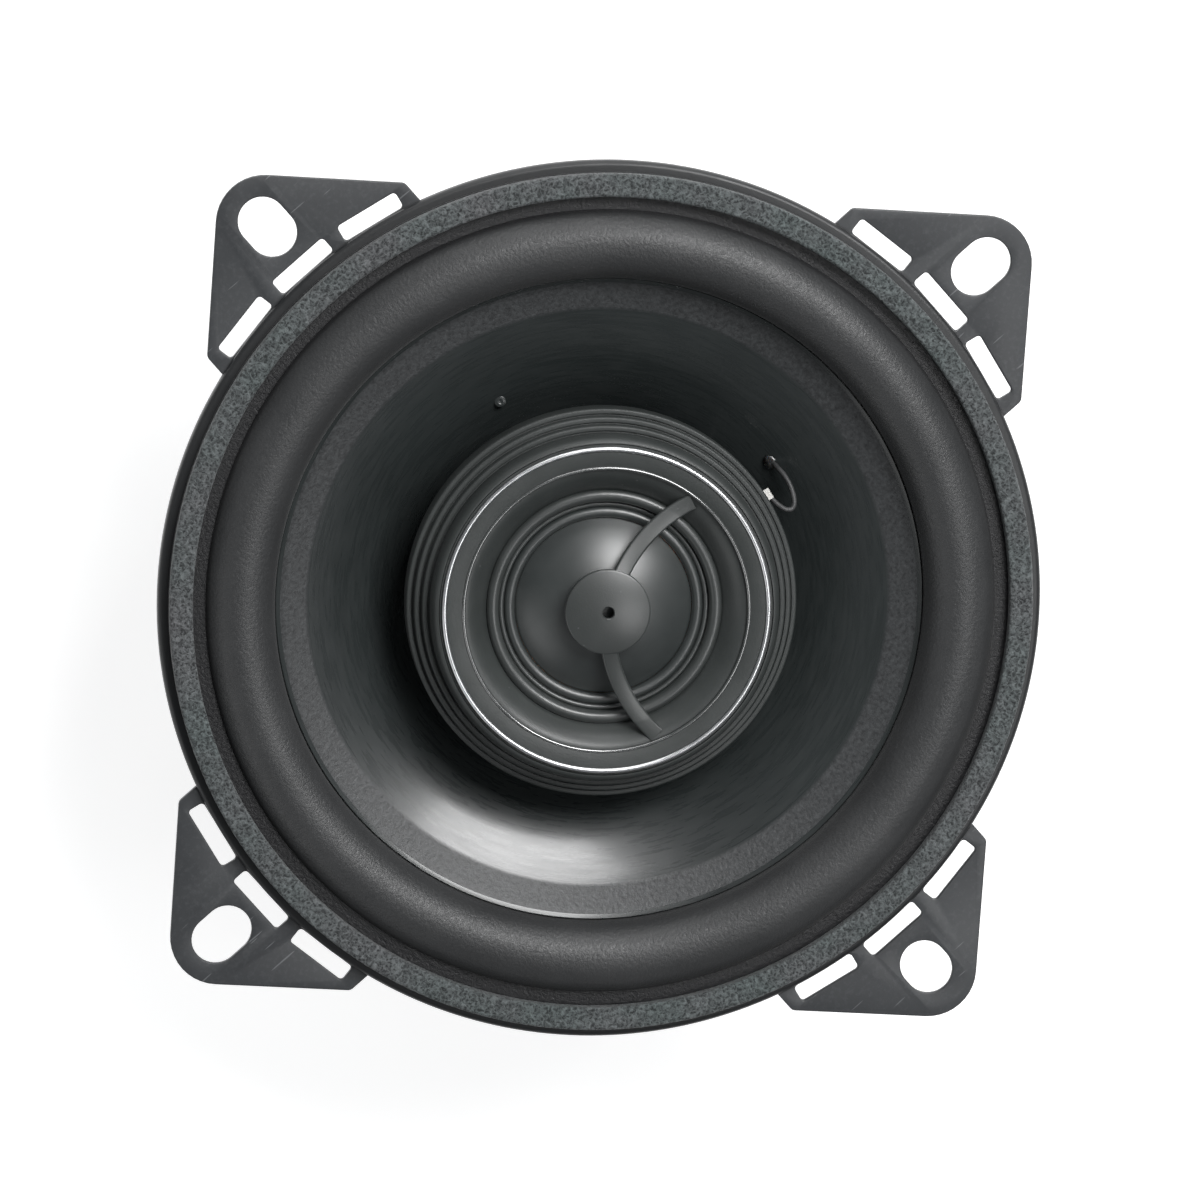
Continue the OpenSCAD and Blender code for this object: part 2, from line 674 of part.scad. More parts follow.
module capacitor_leads() {
    lead_r = 0.3;
    end = capacitor_l / 2;
    inner = [[0, end + fit, 0], [0, end + 1.5, 0], [0, end + 2.9, 0], [0, end + 4.1, 0]];
    outer = [[0, end - 0.35, 0], [0.3, end + 2.5, 0], [1.4, end + 4.5, 0.6], [3.4, end + 4.9, 3],
             [4.8, end + 4.5, 5.2]];
    color(tinned) rotate(spoke_angle) translate([capacitor_at.x, 0, capacitor_at.y]) {
        mirror([0, 1, 0]) wire(curve(inner, 2), lead_r);
        wire(curve(outer), lead_r);
    }
}

// A bead of hot-melt glue that beds the capacitor on the spoke.
glue_w = 6.4;
glue_t = 1.7;
spoke_slope = atan2(6.4, 5.9);          // of the frame's wall behind the capacitor

module capacitor_glue() {
    color([0.75, 0.73, 0.62]) rotate(spoke_angle) difference() {
        translate([capacitor_at.x, -glue_w / 2, capacitor_at.y]) rotate([0, 90 - spoke_slope, 0])
            translate([-capacitor_r - 0.16, 0, -2.1]) cube([glue_t, glue_w, 4.2]);
        at_capacitor() cylinder(r = capacitor_r + fit, h = capacitor_l);
    }
}

// Routes as [radius, angle, height].
tinsel_routes = [
    [[44.7, 57.8, -8.9], [43.8, 60.4, -8.9], [41.2, 63.6, -9.3], [37.6, 66.4, -9.9], [32, 69.6, -10.6],
     [27.4, 72.6, -10.3], [25.2, 74.6, -9.4], [24.7, 75, -8]],
    [[44.7, 32.2, -8.6], [43.8, 29.6, -8.7], [41.2, 26.2, -9.1], [37.6, 23.2, -9.7], [31, 19.6, -10.8],
     [25, 16.8, -12.1], [21.9, 15.4, -11.9], [21, 15, -10.62]]];
tinsel_r = 0.35;

module tinsel_lead_positive() {
    color(copper) wire(curve([for (p = tinsel_routes[0]) polar(p)]), tinsel_r);
}

module tinsel_lead_negative() {
    color(copper) wire(curve([for (p = tinsel_routes[1]) polar(p)]), tinsel_r);
}

basket();
gasket();
flange_rivets();
top_plate();
ring_magnet();
yoke();
surround();
cone();
cone_eyelets();
coil_former();
voice_coil();
spider();
tweeter_post();
post_screw();
tweeter_base();
tweeter_housing();
tweeter_yoke();
tweeter_magnet();
tweeter_pole_disc();
damping_pad();
dome_clamp_ring();
tweeter_surround();
tweeter_dome();
tweeter_coil_former();
tweeter_voice_coil();
tweeter_faceplate();
trim_ring();
diffuser();
tweeter_terminals();
terminal_board();
board_rivet();
positive_blade();
negative_blade();
blade_rivets();
crossover_capacitor();
capacitor_leads();
capacitor_glue();
tinsel_lead_positive();
tinsel_lead_negative();
tweeter_pigtails();
tweeter_feed_leads();
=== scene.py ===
import math

import bmesh
import bpy
import numpy as np
from mathutils import Matrix, Vector, noise


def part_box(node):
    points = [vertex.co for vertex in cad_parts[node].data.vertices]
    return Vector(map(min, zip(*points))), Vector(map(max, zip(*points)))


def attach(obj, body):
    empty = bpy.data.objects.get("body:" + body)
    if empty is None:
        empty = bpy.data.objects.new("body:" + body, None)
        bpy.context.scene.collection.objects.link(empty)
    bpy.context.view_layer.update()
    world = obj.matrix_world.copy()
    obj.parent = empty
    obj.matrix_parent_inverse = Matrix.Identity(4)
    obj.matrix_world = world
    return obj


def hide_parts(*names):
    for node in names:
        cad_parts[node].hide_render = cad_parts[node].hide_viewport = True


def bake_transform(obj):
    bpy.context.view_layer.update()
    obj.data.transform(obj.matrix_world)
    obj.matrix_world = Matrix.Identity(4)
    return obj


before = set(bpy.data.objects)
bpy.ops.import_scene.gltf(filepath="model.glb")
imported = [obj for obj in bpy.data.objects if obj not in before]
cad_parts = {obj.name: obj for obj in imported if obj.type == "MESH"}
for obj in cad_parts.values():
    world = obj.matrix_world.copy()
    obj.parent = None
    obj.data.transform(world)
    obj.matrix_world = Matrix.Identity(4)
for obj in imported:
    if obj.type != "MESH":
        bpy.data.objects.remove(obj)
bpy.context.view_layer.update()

# Looks of a two-way coaxial car loudspeaker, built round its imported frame.
# Lengths are millimetres in the row frame until a mesh is made: the Z axis is the axis of the
# cone, +Z is the listening side and z = 0 is the back of the mounting tabs.
MM = 0.001
TURN = 256           # segments round a large turned piece
SMALL_TURN = 128     # segments round a small turned piece


# ---- sizes taken from the frame

def low(node):
    """Lowest corner of a CAD node's box, in millimetres."""
    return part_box(node)[0] / MM


def high(node):
    """Highest corner of a CAD node's box, in millimetres."""
    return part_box(node)[1] / MM


SHEET_T = 0.8
RIM_R = 50.5
RIM_TOP = 2 * SHEET_T
GASKET_IN = 46.6
GASKET_OUT = high("gasket").x
GASKET_FOOT = low("gasket").z
GASKET_TOP = high("gasket").z
SPIDER_SEAT = -16.2
FLANGE_TOP = -22.6
FLANGE_UNDER = FLANGE_TOP - SHEET_T
PLATE_R = high("top_plate").x
MAGNET_R = high("ring_magnet").x
MAGNET_TOP = high("ring_magnet").z
BACK_TOP = low("ring_magnet").z
BACK_UNDER = low("yoke").z
POLE_R = 12.2
CONE_R = high("cone").x
CONE_T = 0.6
CONE_DEPTH = 15.5
LIP_R = CONE_R - 3
LIP_DROP = 1.05
EDGE_LIP = (1.3, 0.16)    # width and height of the cone's turned-up edge
EDGE_REACH = 0.25         # how far that edge passes the CAD cone
EDGE_UNDER = -0.45        # height of its underside
NECK_R = 12.85
SURROUND_T = 0.5
ROLL_R = 3.8
ROLL_FOOT_R = 44.9        # where the outside of the half roll meets the outer band
HOUSING_R = high("tweeter_housing").x
HOUSING_FOOT = low("tweeter_housing").z
HOUSING_BORE = 19.0
FACE_Z = high("tweeter_housing").z + 0.1
FLARE_IN = (13.4, 4.2)
FLARE_OUT = (16.05, FACE_Z - 0.35)
EDGE_BEAD_R = 0.2
DOME_R = high("tweeter_dome").x
DOME_SPHERE_R = 16.5
DOME_BASE = 3.3
DOME_CENTRE = DOME_BASE - math.sqrt(DOME_SPHERE_R ** 2 - DOME_R ** 2)
SPOKE_ANGLE = 45.0   # the spoke that carries the terminals


# ---- points and outlines

def polar(radius, degrees, z=0.0):
    a = math.radians(degrees)
    return Vector((radius * math.cos(a), radius * math.sin(a), z))


def arc(centre, radius, a0, a1, n=8):
    """Points of an arc in the plane of an outline."""
    angles = [math.radians(a0 + (a1 - a0) * i / n) for i in range(n + 1)]
    return [(centre[0] + radius * math.cos(a), centre[1] + radius * math.sin(a)) for a in angles]


def rounded_corner(before, point, after, radius, n):
    """One corner of an outline as an arc of that radius, or less where its sides are short."""
    p = Vector(point)
    u, v = Vector(before) - p, Vector(after) - p
    half = u.angle(v) / 2
    reach = min(radius / math.tan(half), 0.49 * u.length, 0.49 * v.length)
    if radius <= 0 or half > math.radians(88):
        return [tuple(p)]
    r = reach * math.tan(half)
    u, v = u.normalized(), v.normalized()
    centre = p + (u + v).normalized() * r / math.sin(half)
    a, b = p + u * reach - centre, p + v * reach - centre
    a0 = math.atan2(a.y, a.x)
    sweep = (math.atan2(b.y, b.x) - a0 + math.pi) % (2 * math.pi) - math.pi
    return arc(centre, r, math.degrees(a0), math.degrees(a0 + sweep), n)


def rounded(points, radii, n=4):
    """A closed outline with rounded corners: one radius, or one for each point."""
    if not isinstance(radii, (list, tuple)):
        radii = [radii] * len(points)
    count = len(points)
    result = []
    for i in range(count):
        result += rounded_corner(points[i - 1], points[i], points[(i + 1) % count], radii[i], n)
    return result


def box_outline(x0, x1, y0, y1):
    return [(x0, y0), (x1, y0), (x1, y1), (x0, y1)]


def smooth_path(points, steps):
    """Catmull-Rom curve through a list of points."""
    p = [Vector(q) for q in points]
    last = len(p) - 1
    path = []
    for i in range(last):
        a, b, c, d = p[max(i - 1, 0)], p[i], p[i + 1], p[min(i + 2, last)]
        for k in range(steps):
            t = k / steps
            path.append(0.5 * (2 * b + (c - a) * t + (2 * a - 5 * b + 4 * c - d) * t * t
                               + (3 * b - a - 3 * c + d) * t ** 3))
    return path + [p[last]]


# ---- solids: (points, faces)

def lathe(outline, steps=TURN):
    """A closed outline of (radius, z) turned round the Z axis. Radius 0 makes a pole."""
    points, rows = [], []
    for r, z in outline:
        if r < 1e-6:
            rows.append([len(points)] * steps)
            points.append(Vector((0, 0, z)))
        else:
            rows.append(list(range(len(points), len(points) + steps)))
            points += [polar(r, 360 * k / steps, z) for k in range(steps)]
    faces = []
    for a, b in zip(rows, rows[1:] + rows[:1]):
        for k in range(steps):
            j = (k + 1) % steps
            corners = list(dict.fromkeys([a[k], a[j], b[j], b[k]]))
            if len(corners) > 2:
                faces.append(corners)
    return points, faces


def frames_along(path):
    """(side, up) at each point of a path, carried along it without twist."""
    tangents = [(path[min(i + 1, len(path) - 1)] - path[max(i - 1, 0)]).normalized()
                for i in range(len(path))]
    side = tangents[0].orthogonal().normalized()
    result = []
    for t in tangents:
        side = (side - t * side.dot(t)).normalized()
        result.append((side, t.cross(side)))
    return result


def tube(path, radius, sides=12):
    """A round tube along a path. radius is a number, or one for each point."""
    radii = radius if isinstance(radius, (list, tuple)) else [radius] * len(path)
    points, faces = [], []
    for centre, (side, up), r in zip(path, frames_along(path), radii):
        for k in range(sides):
            a = 2 * math.pi * k / sides
            points.append(centre + r * (math.cos(a) * side + math.sin(a) * up))
    for i in range(len(path) - 1):
        for k in range(sides):
            a, b = i * sides + k, i * sides + (k + 1) % sides
            faces.append([a, b, b + sides, a + sides])
    faces.append(list(range(sides))[::-1])
    faces.append([(len(path) - 1) * sides + k for k in range(sides)])
    return points, faces


def prism(outline, z0, z1):
    """A flat outline of (x, y) raised from z0 to z1."""
    n = len(outline)
    points = [Vector((x, y, z)) for z in (z0, z1) for x, y in outline]
    faces = [list(range(n))[::-1], list(range(n, 2 * n))]
    faces += [[k, (k + 1) % n, n + (k + 1) % n, n + k] for k in range(n)]
    return points, faces


def spin(degrees, axis="Z", size=4):
    return Matrix.Rotation(math.radians(degrees), size, axis)


def moved(solid, matrix):
    points, faces = solid
    return [matrix @ p for p in points], faces


def turned_to(solid, degrees):
    return moved(solid, spin(degrees))


def joined(solids):
    points, faces = [], []
    for more_points, more_faces in solids:
        start = len(points)
        points += more_points
        faces += [[start + k for k in face] for face in more_faces]
    return points, faces


def blob(centre, radii, lumps, seed):
    """A rounded lump, such as a dot of glue or solder, with an uneven skin."""
    rings, sides = 14, 24
    angles = [math.pi * i / rings for i in range(rings + 1)]
    outline = [(math.sin(a), -math.cos(a)) for a in angles]
    outline[0], outline[-1] = (0, -1), (0, 1)
    points, faces = lathe(outline, sides)
    result = []
    for p in points:
        grow = 1 + lumps * noise.noise(p * 1.7 + Vector((seed, seed, seed)))
        result.append(Vector([c + grow * r * x for c, r, x in zip(centre, radii, p)]))
    return result, faces


# ---- pieces

def in_scene(name, data):
    """A new object of the scene that shows a mesh, curve, lamp or camera."""
    obj = bpy.data.objects.new(name, data)
    bpy.context.scene.collection.objects.link(obj)
    return obj


def mesh_of(name, solid):
    points, faces = solid
    mesh = bpy.data.meshes.new(name)
    mesh.from_pydata([tuple(p * MM) for p in points], [], faces)
    work = bmesh.new()
    work.from_mesh(mesh)
    bmesh.ops.recalc_face_normals(work, faces=work.faces)
    work.to_mesh(mesh)
    work.free()
    return mesh


def evaluated_mesh(obj):
    """obj's mesh with its modifiers or its curve settings applied."""
    bpy.context.view_layer.update()
    return bpy.data.meshes.new_from_object(obj.evaluated_get(bpy.context.evaluated_depsgraph_get()))


def smoothed(mesh, sharp):
    mesh.shade_smooth()
    mesh.set_sharp_from_angle(angle=math.radians(sharp))


def piece(name, material, *solids, sharp=35.0):
    """A new object made of closed solids, with its material."""
    mesh = mesh_of(name, joined(solids))
    smoothed(mesh, sharp)
    mesh.materials.append(material)
    return in_scene(name, mesh)


def stands_for(obj, slot, body, *nodes):
    """obj rides on a body in place of CAD nodes, or beside them if none is named."""
    if nodes:
        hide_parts(*nodes)
    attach(obj, body)


def fixed(name, material, slot, node, *solids, sharp=35.0):
    """A new piece that rides on the frame, in place of a CAD node if one is named."""
    stands_for(piece(name, material, *solids, sharp=sharp), slot, "frame", *([node] if node else []))


def bends(obj, slot, moving, weights, *nodes):
    """obj takes the place of CAD nodes, with its placing baked into its mesh. The moving body and the weights
    (0 for the frame, 1 for the body) are not used.
    """
    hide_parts(*nodes)
    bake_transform(obj)


def ease(t):
    t = min(max(t, 0.0), 1.0)
    return t * t * (3 - 2 * t)


def weights_by_radius(obj, r_moving, r_still):
    """Blend weights for a turned piece, from its moving radius to its still one, in millimetres."""
    radii = [math.hypot(v.co.x, v.co.y) / MM for v in obj.data.vertices]
    return [1 - ease((r - r_moving) / (r_still - r_moving)) for r in radii]


def cut(obj, tools, operation):
    """obj with other objects joined to it or cut from it. The tools are used up."""
    for tool in tools:
        modifier = obj.modifiers.new("cut", "BOOLEAN")
        modifier.operation, modifier.object, modifier.solver = operation, tool, "EXACT"
    mesh = evaluated_mesh(obj)
    obj.modifiers.clear()
    obj.data = mesh
    for tool in tools:
        bpy.data.objects.remove(tool)


def flat_plate(name, outline, holes, z0, z1, edge):
    """A flat plate with holes, its edges rounded to radius edge."""
    curve = bpy.data.curves.new(name, "CURVE")
    curve.dimensions, curve.fill_mode = "2D", "BOTH"
    curve.extrude = (z1 - z0) / 2 * MM - edge * MM
    curve.bevel_depth, curve.bevel_resolution = edge * MM, 2
    curve.offset = -edge * MM
    for loop in [outline] + holes:
        spline = curve.splines.new("POLY")
        spline.points.add(len(loop) - 1)
        for point, (x, y) in zip(spline.points, loop):
            point.co = (x * MM, y * MM, 0, 1)
        spline.use_cyclic_u = True
    shape = in_scene(name, curve)
    mesh = evaluated_mesh(shape)
    bpy.data.objects.remove(shape)
    work = bmesh.new()
    work.from_mesh(mesh)
    bmesh.ops.remove_doubles(work, verts=work.verts, dist=1e-7)
    bmesh.ops.translate(work, verts=work.verts, vec=(0, 0, (z0 + z1) / 2 * MM))
    bmesh.ops.recalc_face_normals(work, faces=work.faces)
    work.to_mesh(mesh)
    work.free()
    return in_scene(name, mesh)


# ---- material graphs

class Surface:
    """A node material round one Principled shader, with distances in millimetres."""

    def __init__(self, name, **settings):
        self.material = bpy.data.materials.new(name)
        self.material.use_nodes = True
        self.tree = self.material.node_tree
        self.shader = self.tree.nodes["Principled BSDF"]
        self.set(**settings)
        place = self.add("TexCoord", out="Object")
        self.place = self.add("VectorMath", {0: place, "Scale": 1 / MM}, operation="SCALE")

    def set(self, **settings):
        """Shader inputs by name, such as coat_roughness. A value is a number, a colour or a socket."""
        for key, value in settings.items():
            self.put(self.shader.inputs[key.replace("_", " ").title().replace("Ior", "IOR")], value)

    def put(self, target, value):
        if isinstance(value, bpy.types.NodeSocket):
            self.tree.links.new(value, target)
        elif isinstance(value, tuple) and len(value) == 3 and target.type == "RGBA":
            target.default_value = (*value, 1)
        else:
            target.default_value = value

    def add(self, kind, inputs=None, out=0, **settings):
        node = self.tree.nodes.new("ShaderNode" + kind)
        for key, value in settings.items():
            setattr(node, key, value)
        for key, value in (inputs or {}).items():
            self.put(node.inputs[key], value)
        return node.outputs[out]

    def calc(self, operation, a, b=0.0, c=0.0):
        return self.add("Math", {0: a, 1: b, 2: c}, operation=operation)

    def noise(self, size, detail=3.0, rough=0.55, vector=None, warp=0.0):
        """Noise whose grains are about size millimetres across."""
        return self.add("TexNoise", {"Vector": vector or self.place, "Scale": 1 / size, "Detail": detail,
                                     "Roughness": rough, "Distortion": warp})

    def cells(self, size):
        return self.add("TexVoronoi", {"Vector": self.place, "Scale": 1 / size})

    def stretch(self, x=1.0, y=1.0, z=1.0):
        """The place, with each axis multiplied."""
        return self.add("VectorMath", {0: self.place, 1: (x, y, z)}, operation="MULTIPLY")

    def split(self, vector):
        node = self.tree.nodes.new("ShaderNodeSeparateXYZ")
        self.put(node.inputs[0], vector)
        return node.outputs

    def radius(self):
        flat = self.stretch(1, 1, 0)
        return self.add("VectorMath", {0: flat}, out="Value", operation="LENGTH")

    def round_axis(self, across, along=1.0):
        """A vector for streaks that run round the Z axis, across millimetres apart."""
        flat = self.add("VectorMath", {0: self.stretch(1, 1, 0)}, operation="NORMALIZE")
        wide = self.add("VectorMath", {0: flat, "Scale": 12 / along}, operation="SCALE")
        x, y, _ = self.split(wide)
        reach = self.calc("ADD", self.radius(), self.split(self.place)[2])
        return self.add("CombineXYZ", {0: x, 1: y, 2: self.calc("DIVIDE", reach, across)})

    def spread(self, value, low_in, high_in, low_out, high_out):
        return self.add("MapRange", {0: value, 1: low_in, 2: high_in, 3: low_out, 4: high_out})

    def vary(self, value, low_out, high_out):
        """A noise value brought into a range, over the middle of the noise."""
        return self.spread(value, 0.3, 0.7, low_out, high_out)

    def tint(self, value, dark, light, start=0.3, end=0.7):
        """A colour between dark and light, by a value."""
        node = self.tree.nodes.new("ShaderNodeValToRGB")
        self.put(node.inputs[0], value)
        for element, place, colour in zip(node.color_ramp.elements, (start, end), (dark, light)):
            element.position, element.color = place, (*colour, 1)
        return node.outputs[0]

    def mix(self, factor, a, b, blend="MIX"):
        node = self.tree.nodes.new("ShaderNodeMix")
        node.data_type, node.blend_type = "RGBA", blend
        for key, value in ((0, factor), (6, a), (7, b)):
            self.put(node.inputs[key], value)
        return node.outputs[2]

    def bump(self, *layers):
        """Raised detail: layers of (height socket, depth in millimetres)."""
        normal = None
        for height, depth in layers:
            inputs = {"Height": height, "Distance": depth * MM, "Strength": 1.0}
            if normal:
                inputs["Normal"] = normal
            normal = self.add("Bump", inputs)
        if normal:
            self.set(normal=normal)
        return self.material


def plain(name, colour, rough, bumps, **settings):
    """A material whose colour and roughness vary by noise, over fine bumps.

    colour is (grain, detail, dark, light), rough is (grain, detail, least, most), and each bump is
    (grain, detail, depth).
    """
    s = Surface(name, **settings)
    s.set(base_color=s.tint(s.noise(*colour[:2]), *colour[2:]),
          roughness=s.vary(s.noise(*rough[:2]), *rough[2:]))
    return s.bump(*[(s.noise(grain, detail), depth) for grain, detail, depth in bumps])


def frame_paint():
    """Baked black paint on pressed steel: an orange peel all over, and dust and hairline scratches
    on the tabs. Inside the rim's edge its colour is one plain near-black: painted shade standing for the
    rim's dark reflections."""
    s = Surface("frame_paint", ior=1.5, coat_weight=0.12, coat_roughness=0.25)
    broad = s.noise(14, 2)
    fine = s.noise(0.5, 4)
    lines = s.noise(0.9, 1, vector=s.stretch(0.14, 1.9, 1.0))
    scratch = s.spread(lines, 0.71, 0.735, 0.0, 1.0)
    paint = s.tint(broad, (0.028, 0.030, 0.033), (0.040, 0.043, 0.046))
    dusty = s.mix(s.spread(fine, 0.5, 0.8, 0.0, 0.35), paint, (0.085, 0.09, 0.094))
    # Painted shade: inside the rim's edge the paint is one plain near-black, standing for the rim's dark
    # reflections.
    inside = s.spread(s.radius(), RIM_R - 0.1, RIM_R + 0.3, 1.0, 0.0)
    s.set(base_color=s.mix(inside, s.mix(scratch, dusty, (0.11, 0.115, 0.12)), (0.014, 0.015, 0.016)),
          roughness=s.vary(s.noise(3.5, 4), 0.42, 0.55))
    return s.bump((s.noise(0.8, 2), 0.012), (fine, 0.006), (scratch, -0.01))


def zinc_plate():
    """Zinc-plated turned steel: faint turning lines and a mottled passivated skin."""
    s = Surface("zinc_plate", metallic=1.0)
    lines = s.noise(1.0, 3, vector=s.round_axis(0.22))
    mottle = s.noise(5, 5, warp=0.6)
    s.set(base_color=s.tint(mottle, (0.46, 0.45, 0.43), (0.64, 0.63, 0.60)),
          roughness=s.vary(mottle, 0.30, 0.46))
    return s.bump((lines, 0.012), (s.noise(0.6, 4), 0.008))


def ferrite():
    """Pressed and ground ferrite: dull dark grey with fine grain, pits and grinding marks."""
    s = Surface("ferrite", ior=1.6)
    grain = s.noise(0.35, 5, 0.7)
    pits = s.spread(s.cells(1.9), 0.0, 0.16, 1.0, 0.0)
    body = s.tint(grain, (0.028, 0.029, 0.032), (0.060, 0.062, 0.067))
    s.set(base_color=s.mix(pits, body, (0.012, 0.012, 0.013)),
          roughness=s.vary(grain, 0.52, 0.72))
    return s.bump((grain, 0.05), (pits, -0.07), (s.noise(1, 2, vector=s.stretch(0.1, 2.2, 2.2)), 0.02))


def gasket_foam():
    """Closed-cell gasket foam: light worm-like cell walls round small dark cells."""
    s = Surface("gasket_foam", roughness=0.82, ior=1.4, sheen_weight=0.12, sheen_roughness=0.5)
    drift = s.add("TexNoise", {"Vector": s.place, "Scale": 1.6, "Detail": 2.0}, out=1)
    shift = s.add("VectorMath", {0: drift, "Scale": 0.9}, operation="SCALE")
    warp = s.add("VectorMath", {0: s.place, 1: shift}, operation="ADD")
    walls = s.add("TexVoronoi", {"Vector": warp, "Scale": 3.0}, feature="SMOOTH_F1")
    fine = s.noise(0.2, 5, 0.65)
    speck = s.calc("ADD", s.calc("MULTIPLY", walls, 0.7), s.calc("MULTIPLY", fine, 0.5))
    tone = s.tint(speck, (0.020, 0.021, 0.022), (0.150, 0.156, 0.158), 0.34, 0.80)
    patch = s.tint(s.noise(9, 3), (0.88, 1.0, 0.98), (1.0, 0.98, 1.0))
    s.set(base_color=s.mix(1.0, tone, patch, "MULTIPLY"))
    return s.bump((speck, 0.16), (fine, 0.05))


def surround_rubber():
    """Moulded rubber: satin black with a fine mould grain and faint rings from the tool. Past the roll's foot
    it is painted darker: painted shade in the groove by the gasket.
    """
    s = Surface("surround_rubber", ior=1.5, sheen_weight=0.08, sheen_roughness=0.4)
    rings = s.noise(1, 2, vector=s.round_axis(0.5, 2))
    grain = s.noise(0.42, 4, 0.65)
    # Painted shade: past the foot of the roll the rubber is painted near-black for the shade in the groove
    # before the gasket.
    flange = s.spread(s.radius(), ROLL_FOOT_R - 0.2, ROLL_FOOT_R + 0.2, 0.0, 1.0)
    s.set(base_color=s.mix(flange, s.tint(s.noise(11, 3), (0.028, 0.029, 0.030), (0.040, 0.041, 0.042)),
                           (0.004, 0.004, 0.005)),
          roughness=s.vary(grain, 0.32, 0.54))
    return s.bump((rings, 0.008), (grain, 0.085))


def cone_plastic():
    """Injected polypropylene: smooth dark sheet with flow streaks, and a dull grained band at its edge."""
    s = Surface("cone_plastic", ior=1.52, coat_roughness=0.14)
    streaks = s.noise(1, 3, vector=s.round_axis(0.55, 1.6))
    hair = s.noise(1, 2, vector=s.round_axis(0.12, 1.2))
    grain = s.noise(0.45, 4, 0.6)
    inner = s.spread(s.radius(), LIP_R - 0.7, LIP_R - 0.3, 0.0, 1.0)
    band = s.calc("MULTIPLY", inner, s.calc("LESS_THAN", s.radius(), CONE_R - 0.3))
    base = s.tint(s.noise(16, 2), (0.018, 0.0215, 0.0215), (0.024, 0.0285, 0.0285))
    dull = s.tint(grain, (0.018, 0.019, 0.020), (0.052, 0.055, 0.057))
    streaked = s.mix(s.spread(streaks, 0.4, 0.75, 0.0, 0.5), base, (0.034, 0.038, 0.038))
    s.set(base_color=s.mix(band, streaked, dull),
          roughness=s.add("Mix", {0: band, 2: s.vary(streaks, 0.25, 0.32), 3: 0.46}),
          coat_weight=s.spread(band, 0.0, 1.0, 0.25, 0.0))
    return s.bump((streaks, 0.005), (hair, 0.003), (s.calc("MULTIPLY", grain, band), 0.05))


def moulded_plastic():
    """Spark-eroded ABS: a fine pebble and pale specks of dust, glossier inside the flare."""
    s = Surface("moulded_plastic", ior=1.5, coat_roughness=0.30)
    pebble = s.noise(0.2, 4, 0.6)
    specks = s.spread(s.cells(2.3), 0.0, 0.06, 1.0, 0.0)
    base = s.tint(s.noise(6, 3), (0.026, 0.030, 0.029), (0.038, 0.0425, 0.0415))
    inside = s.spread(s.radius(), 13.3, 13.6, 0.9, 0.25)
    s.set(base_color=s.mix(s.calc("MULTIPLY", specks, 0.5), base, (0.16, 0.165, 0.17)),
          roughness=s.vary(pebble, 0.42, 0.54),
          coat_weight=s.calc("MULTIPLY", inside, s.calc("LESS_THAN", s.radius(), FLARE_OUT[0] + 0.5)))
    return s.bump((pebble, 0.022), (s.noise(1.4, 2), 0.008))


def tinned():
    """Tin-plated brass: soft grey metal, dulled in patches, with stamping marks."""
    s = Surface("tinned", metallic=1.0)
    patch = s.noise(1.8, 5, warp=0.5)
    s.set(base_color=s.tint(patch, (0.50, 0.49, 0.46), (0.72, 0.71, 0.69)),
          roughness=s.vary(patch, 0.28, 0.42))
    return s.bump((s.noise(1, 2, vector=s.stretch(2.5, 2.5, 0.3)), 0.01), (s.noise(0.3, 3), 0.006))


def amber_film():
    s = Surface("amber_film", ior=1.6, coat_weight=0.5, coat_roughness=0.08)
    s.set(base_color=s.tint(s.noise(3, 3), (0.32, 0.12, 0.02), (0.46, 0.19, 0.035)),
          roughness=s.vary(s.noise(0.6, 3), 0.2, 0.32))
    return s.bump((s.noise(1, 2, vector=s.round_axis(0.4)), 0.006))


def woven(name, dark, light, pitch, depth):
    """A plain weave of round threads, pitch millimetres apart, along X and Y."""
    s = Surface(name, roughness=0.7, sheen_weight=0.25, sheen_roughness=0.5)
    x, y, _ = s.split(s.place)
    threads = []
    for run, other in ((x, y), (y, x)):
        along = s.calc("MULTIPLY", run, math.pi / pitch)
        across = s.calc("MULTIPLY", other, math.pi / pitch)
        ridge = s.calc("ABSOLUTE", s.calc("COSINE", across))
        over = s.calc("SINE", s.calc("ADD", along, s.calc("MULTIPLY", s.calc("FLOOR", s.calc(
            "DIVIDE", other, pitch)), math.pi)))
        threads.append(s.calc("MULTIPLY", ridge, s.spread(over, -1, 1, 0.1, 1)))
    height = s.calc("MAXIMUM", *threads)
    fuzz = s.noise(pitch / 4, 4)
    tone = s.calc("ADD", s.calc("MULTIPLY", height, 0.7), s.calc("MULTIPLY", fuzz, 0.4))
    s.set(base_color=s.tint(tone, dark, light, 0.2, 0.95))
    return s.bump((height, depth), (fuzz, depth / 4))


def felt():
    s = Surface("felt", roughness=0.95, sheen_weight=0.4, sheen_roughness=0.6)
    fibre = s.noise(0.25, 6, 0.75, warp=1.2)
    s.set(base_color=s.tint(fibre, (0.05, 0.05, 0.05), (0.17, 0.17, 0.165)))
    return s.bump((fibre, 0.12))


def phenolic_board():
    """Paper laminate: brown-black with faint fibres."""
    s = Surface("phenolic_board", ior=1.55, coat_weight=0.2, coat_roughness=0.3)
    fibre = s.noise(1, 4, vector=s.stretch(1.2, 1.2, 0.35), warp=0.5)
    s.set(base_color=s.tint(fibre, (0.022, 0.014, 0.010), (0.055, 0.036, 0.026)),
          roughness=s.vary(fibre, 0.38, 0.5))
    return s.bump((fibre, 0.012), (s.noise(0.2, 3), 0.006))


PAINT = frame_paint()
ZINC = zinc_plate()
FERRITE = ferrite()
FOAM = gasket_foam()
RUBBER = surround_rubber()
CONE = cone_plastic()
PLASTIC = moulded_plastic()
# The same plastic, polished along the flare's edge.
POLISHED = plain("polished_plastic", (1.1, 4, (0.030, 0.034, 0.033), (0.046, 0.050, 0.049)),
                 (1.1, 4, 0.20, 0.30), [(0.4, 3, 0.002)],
                 ior=1.9, coat_weight=1.0, coat_roughness=0.14, coat_ior=2.2)
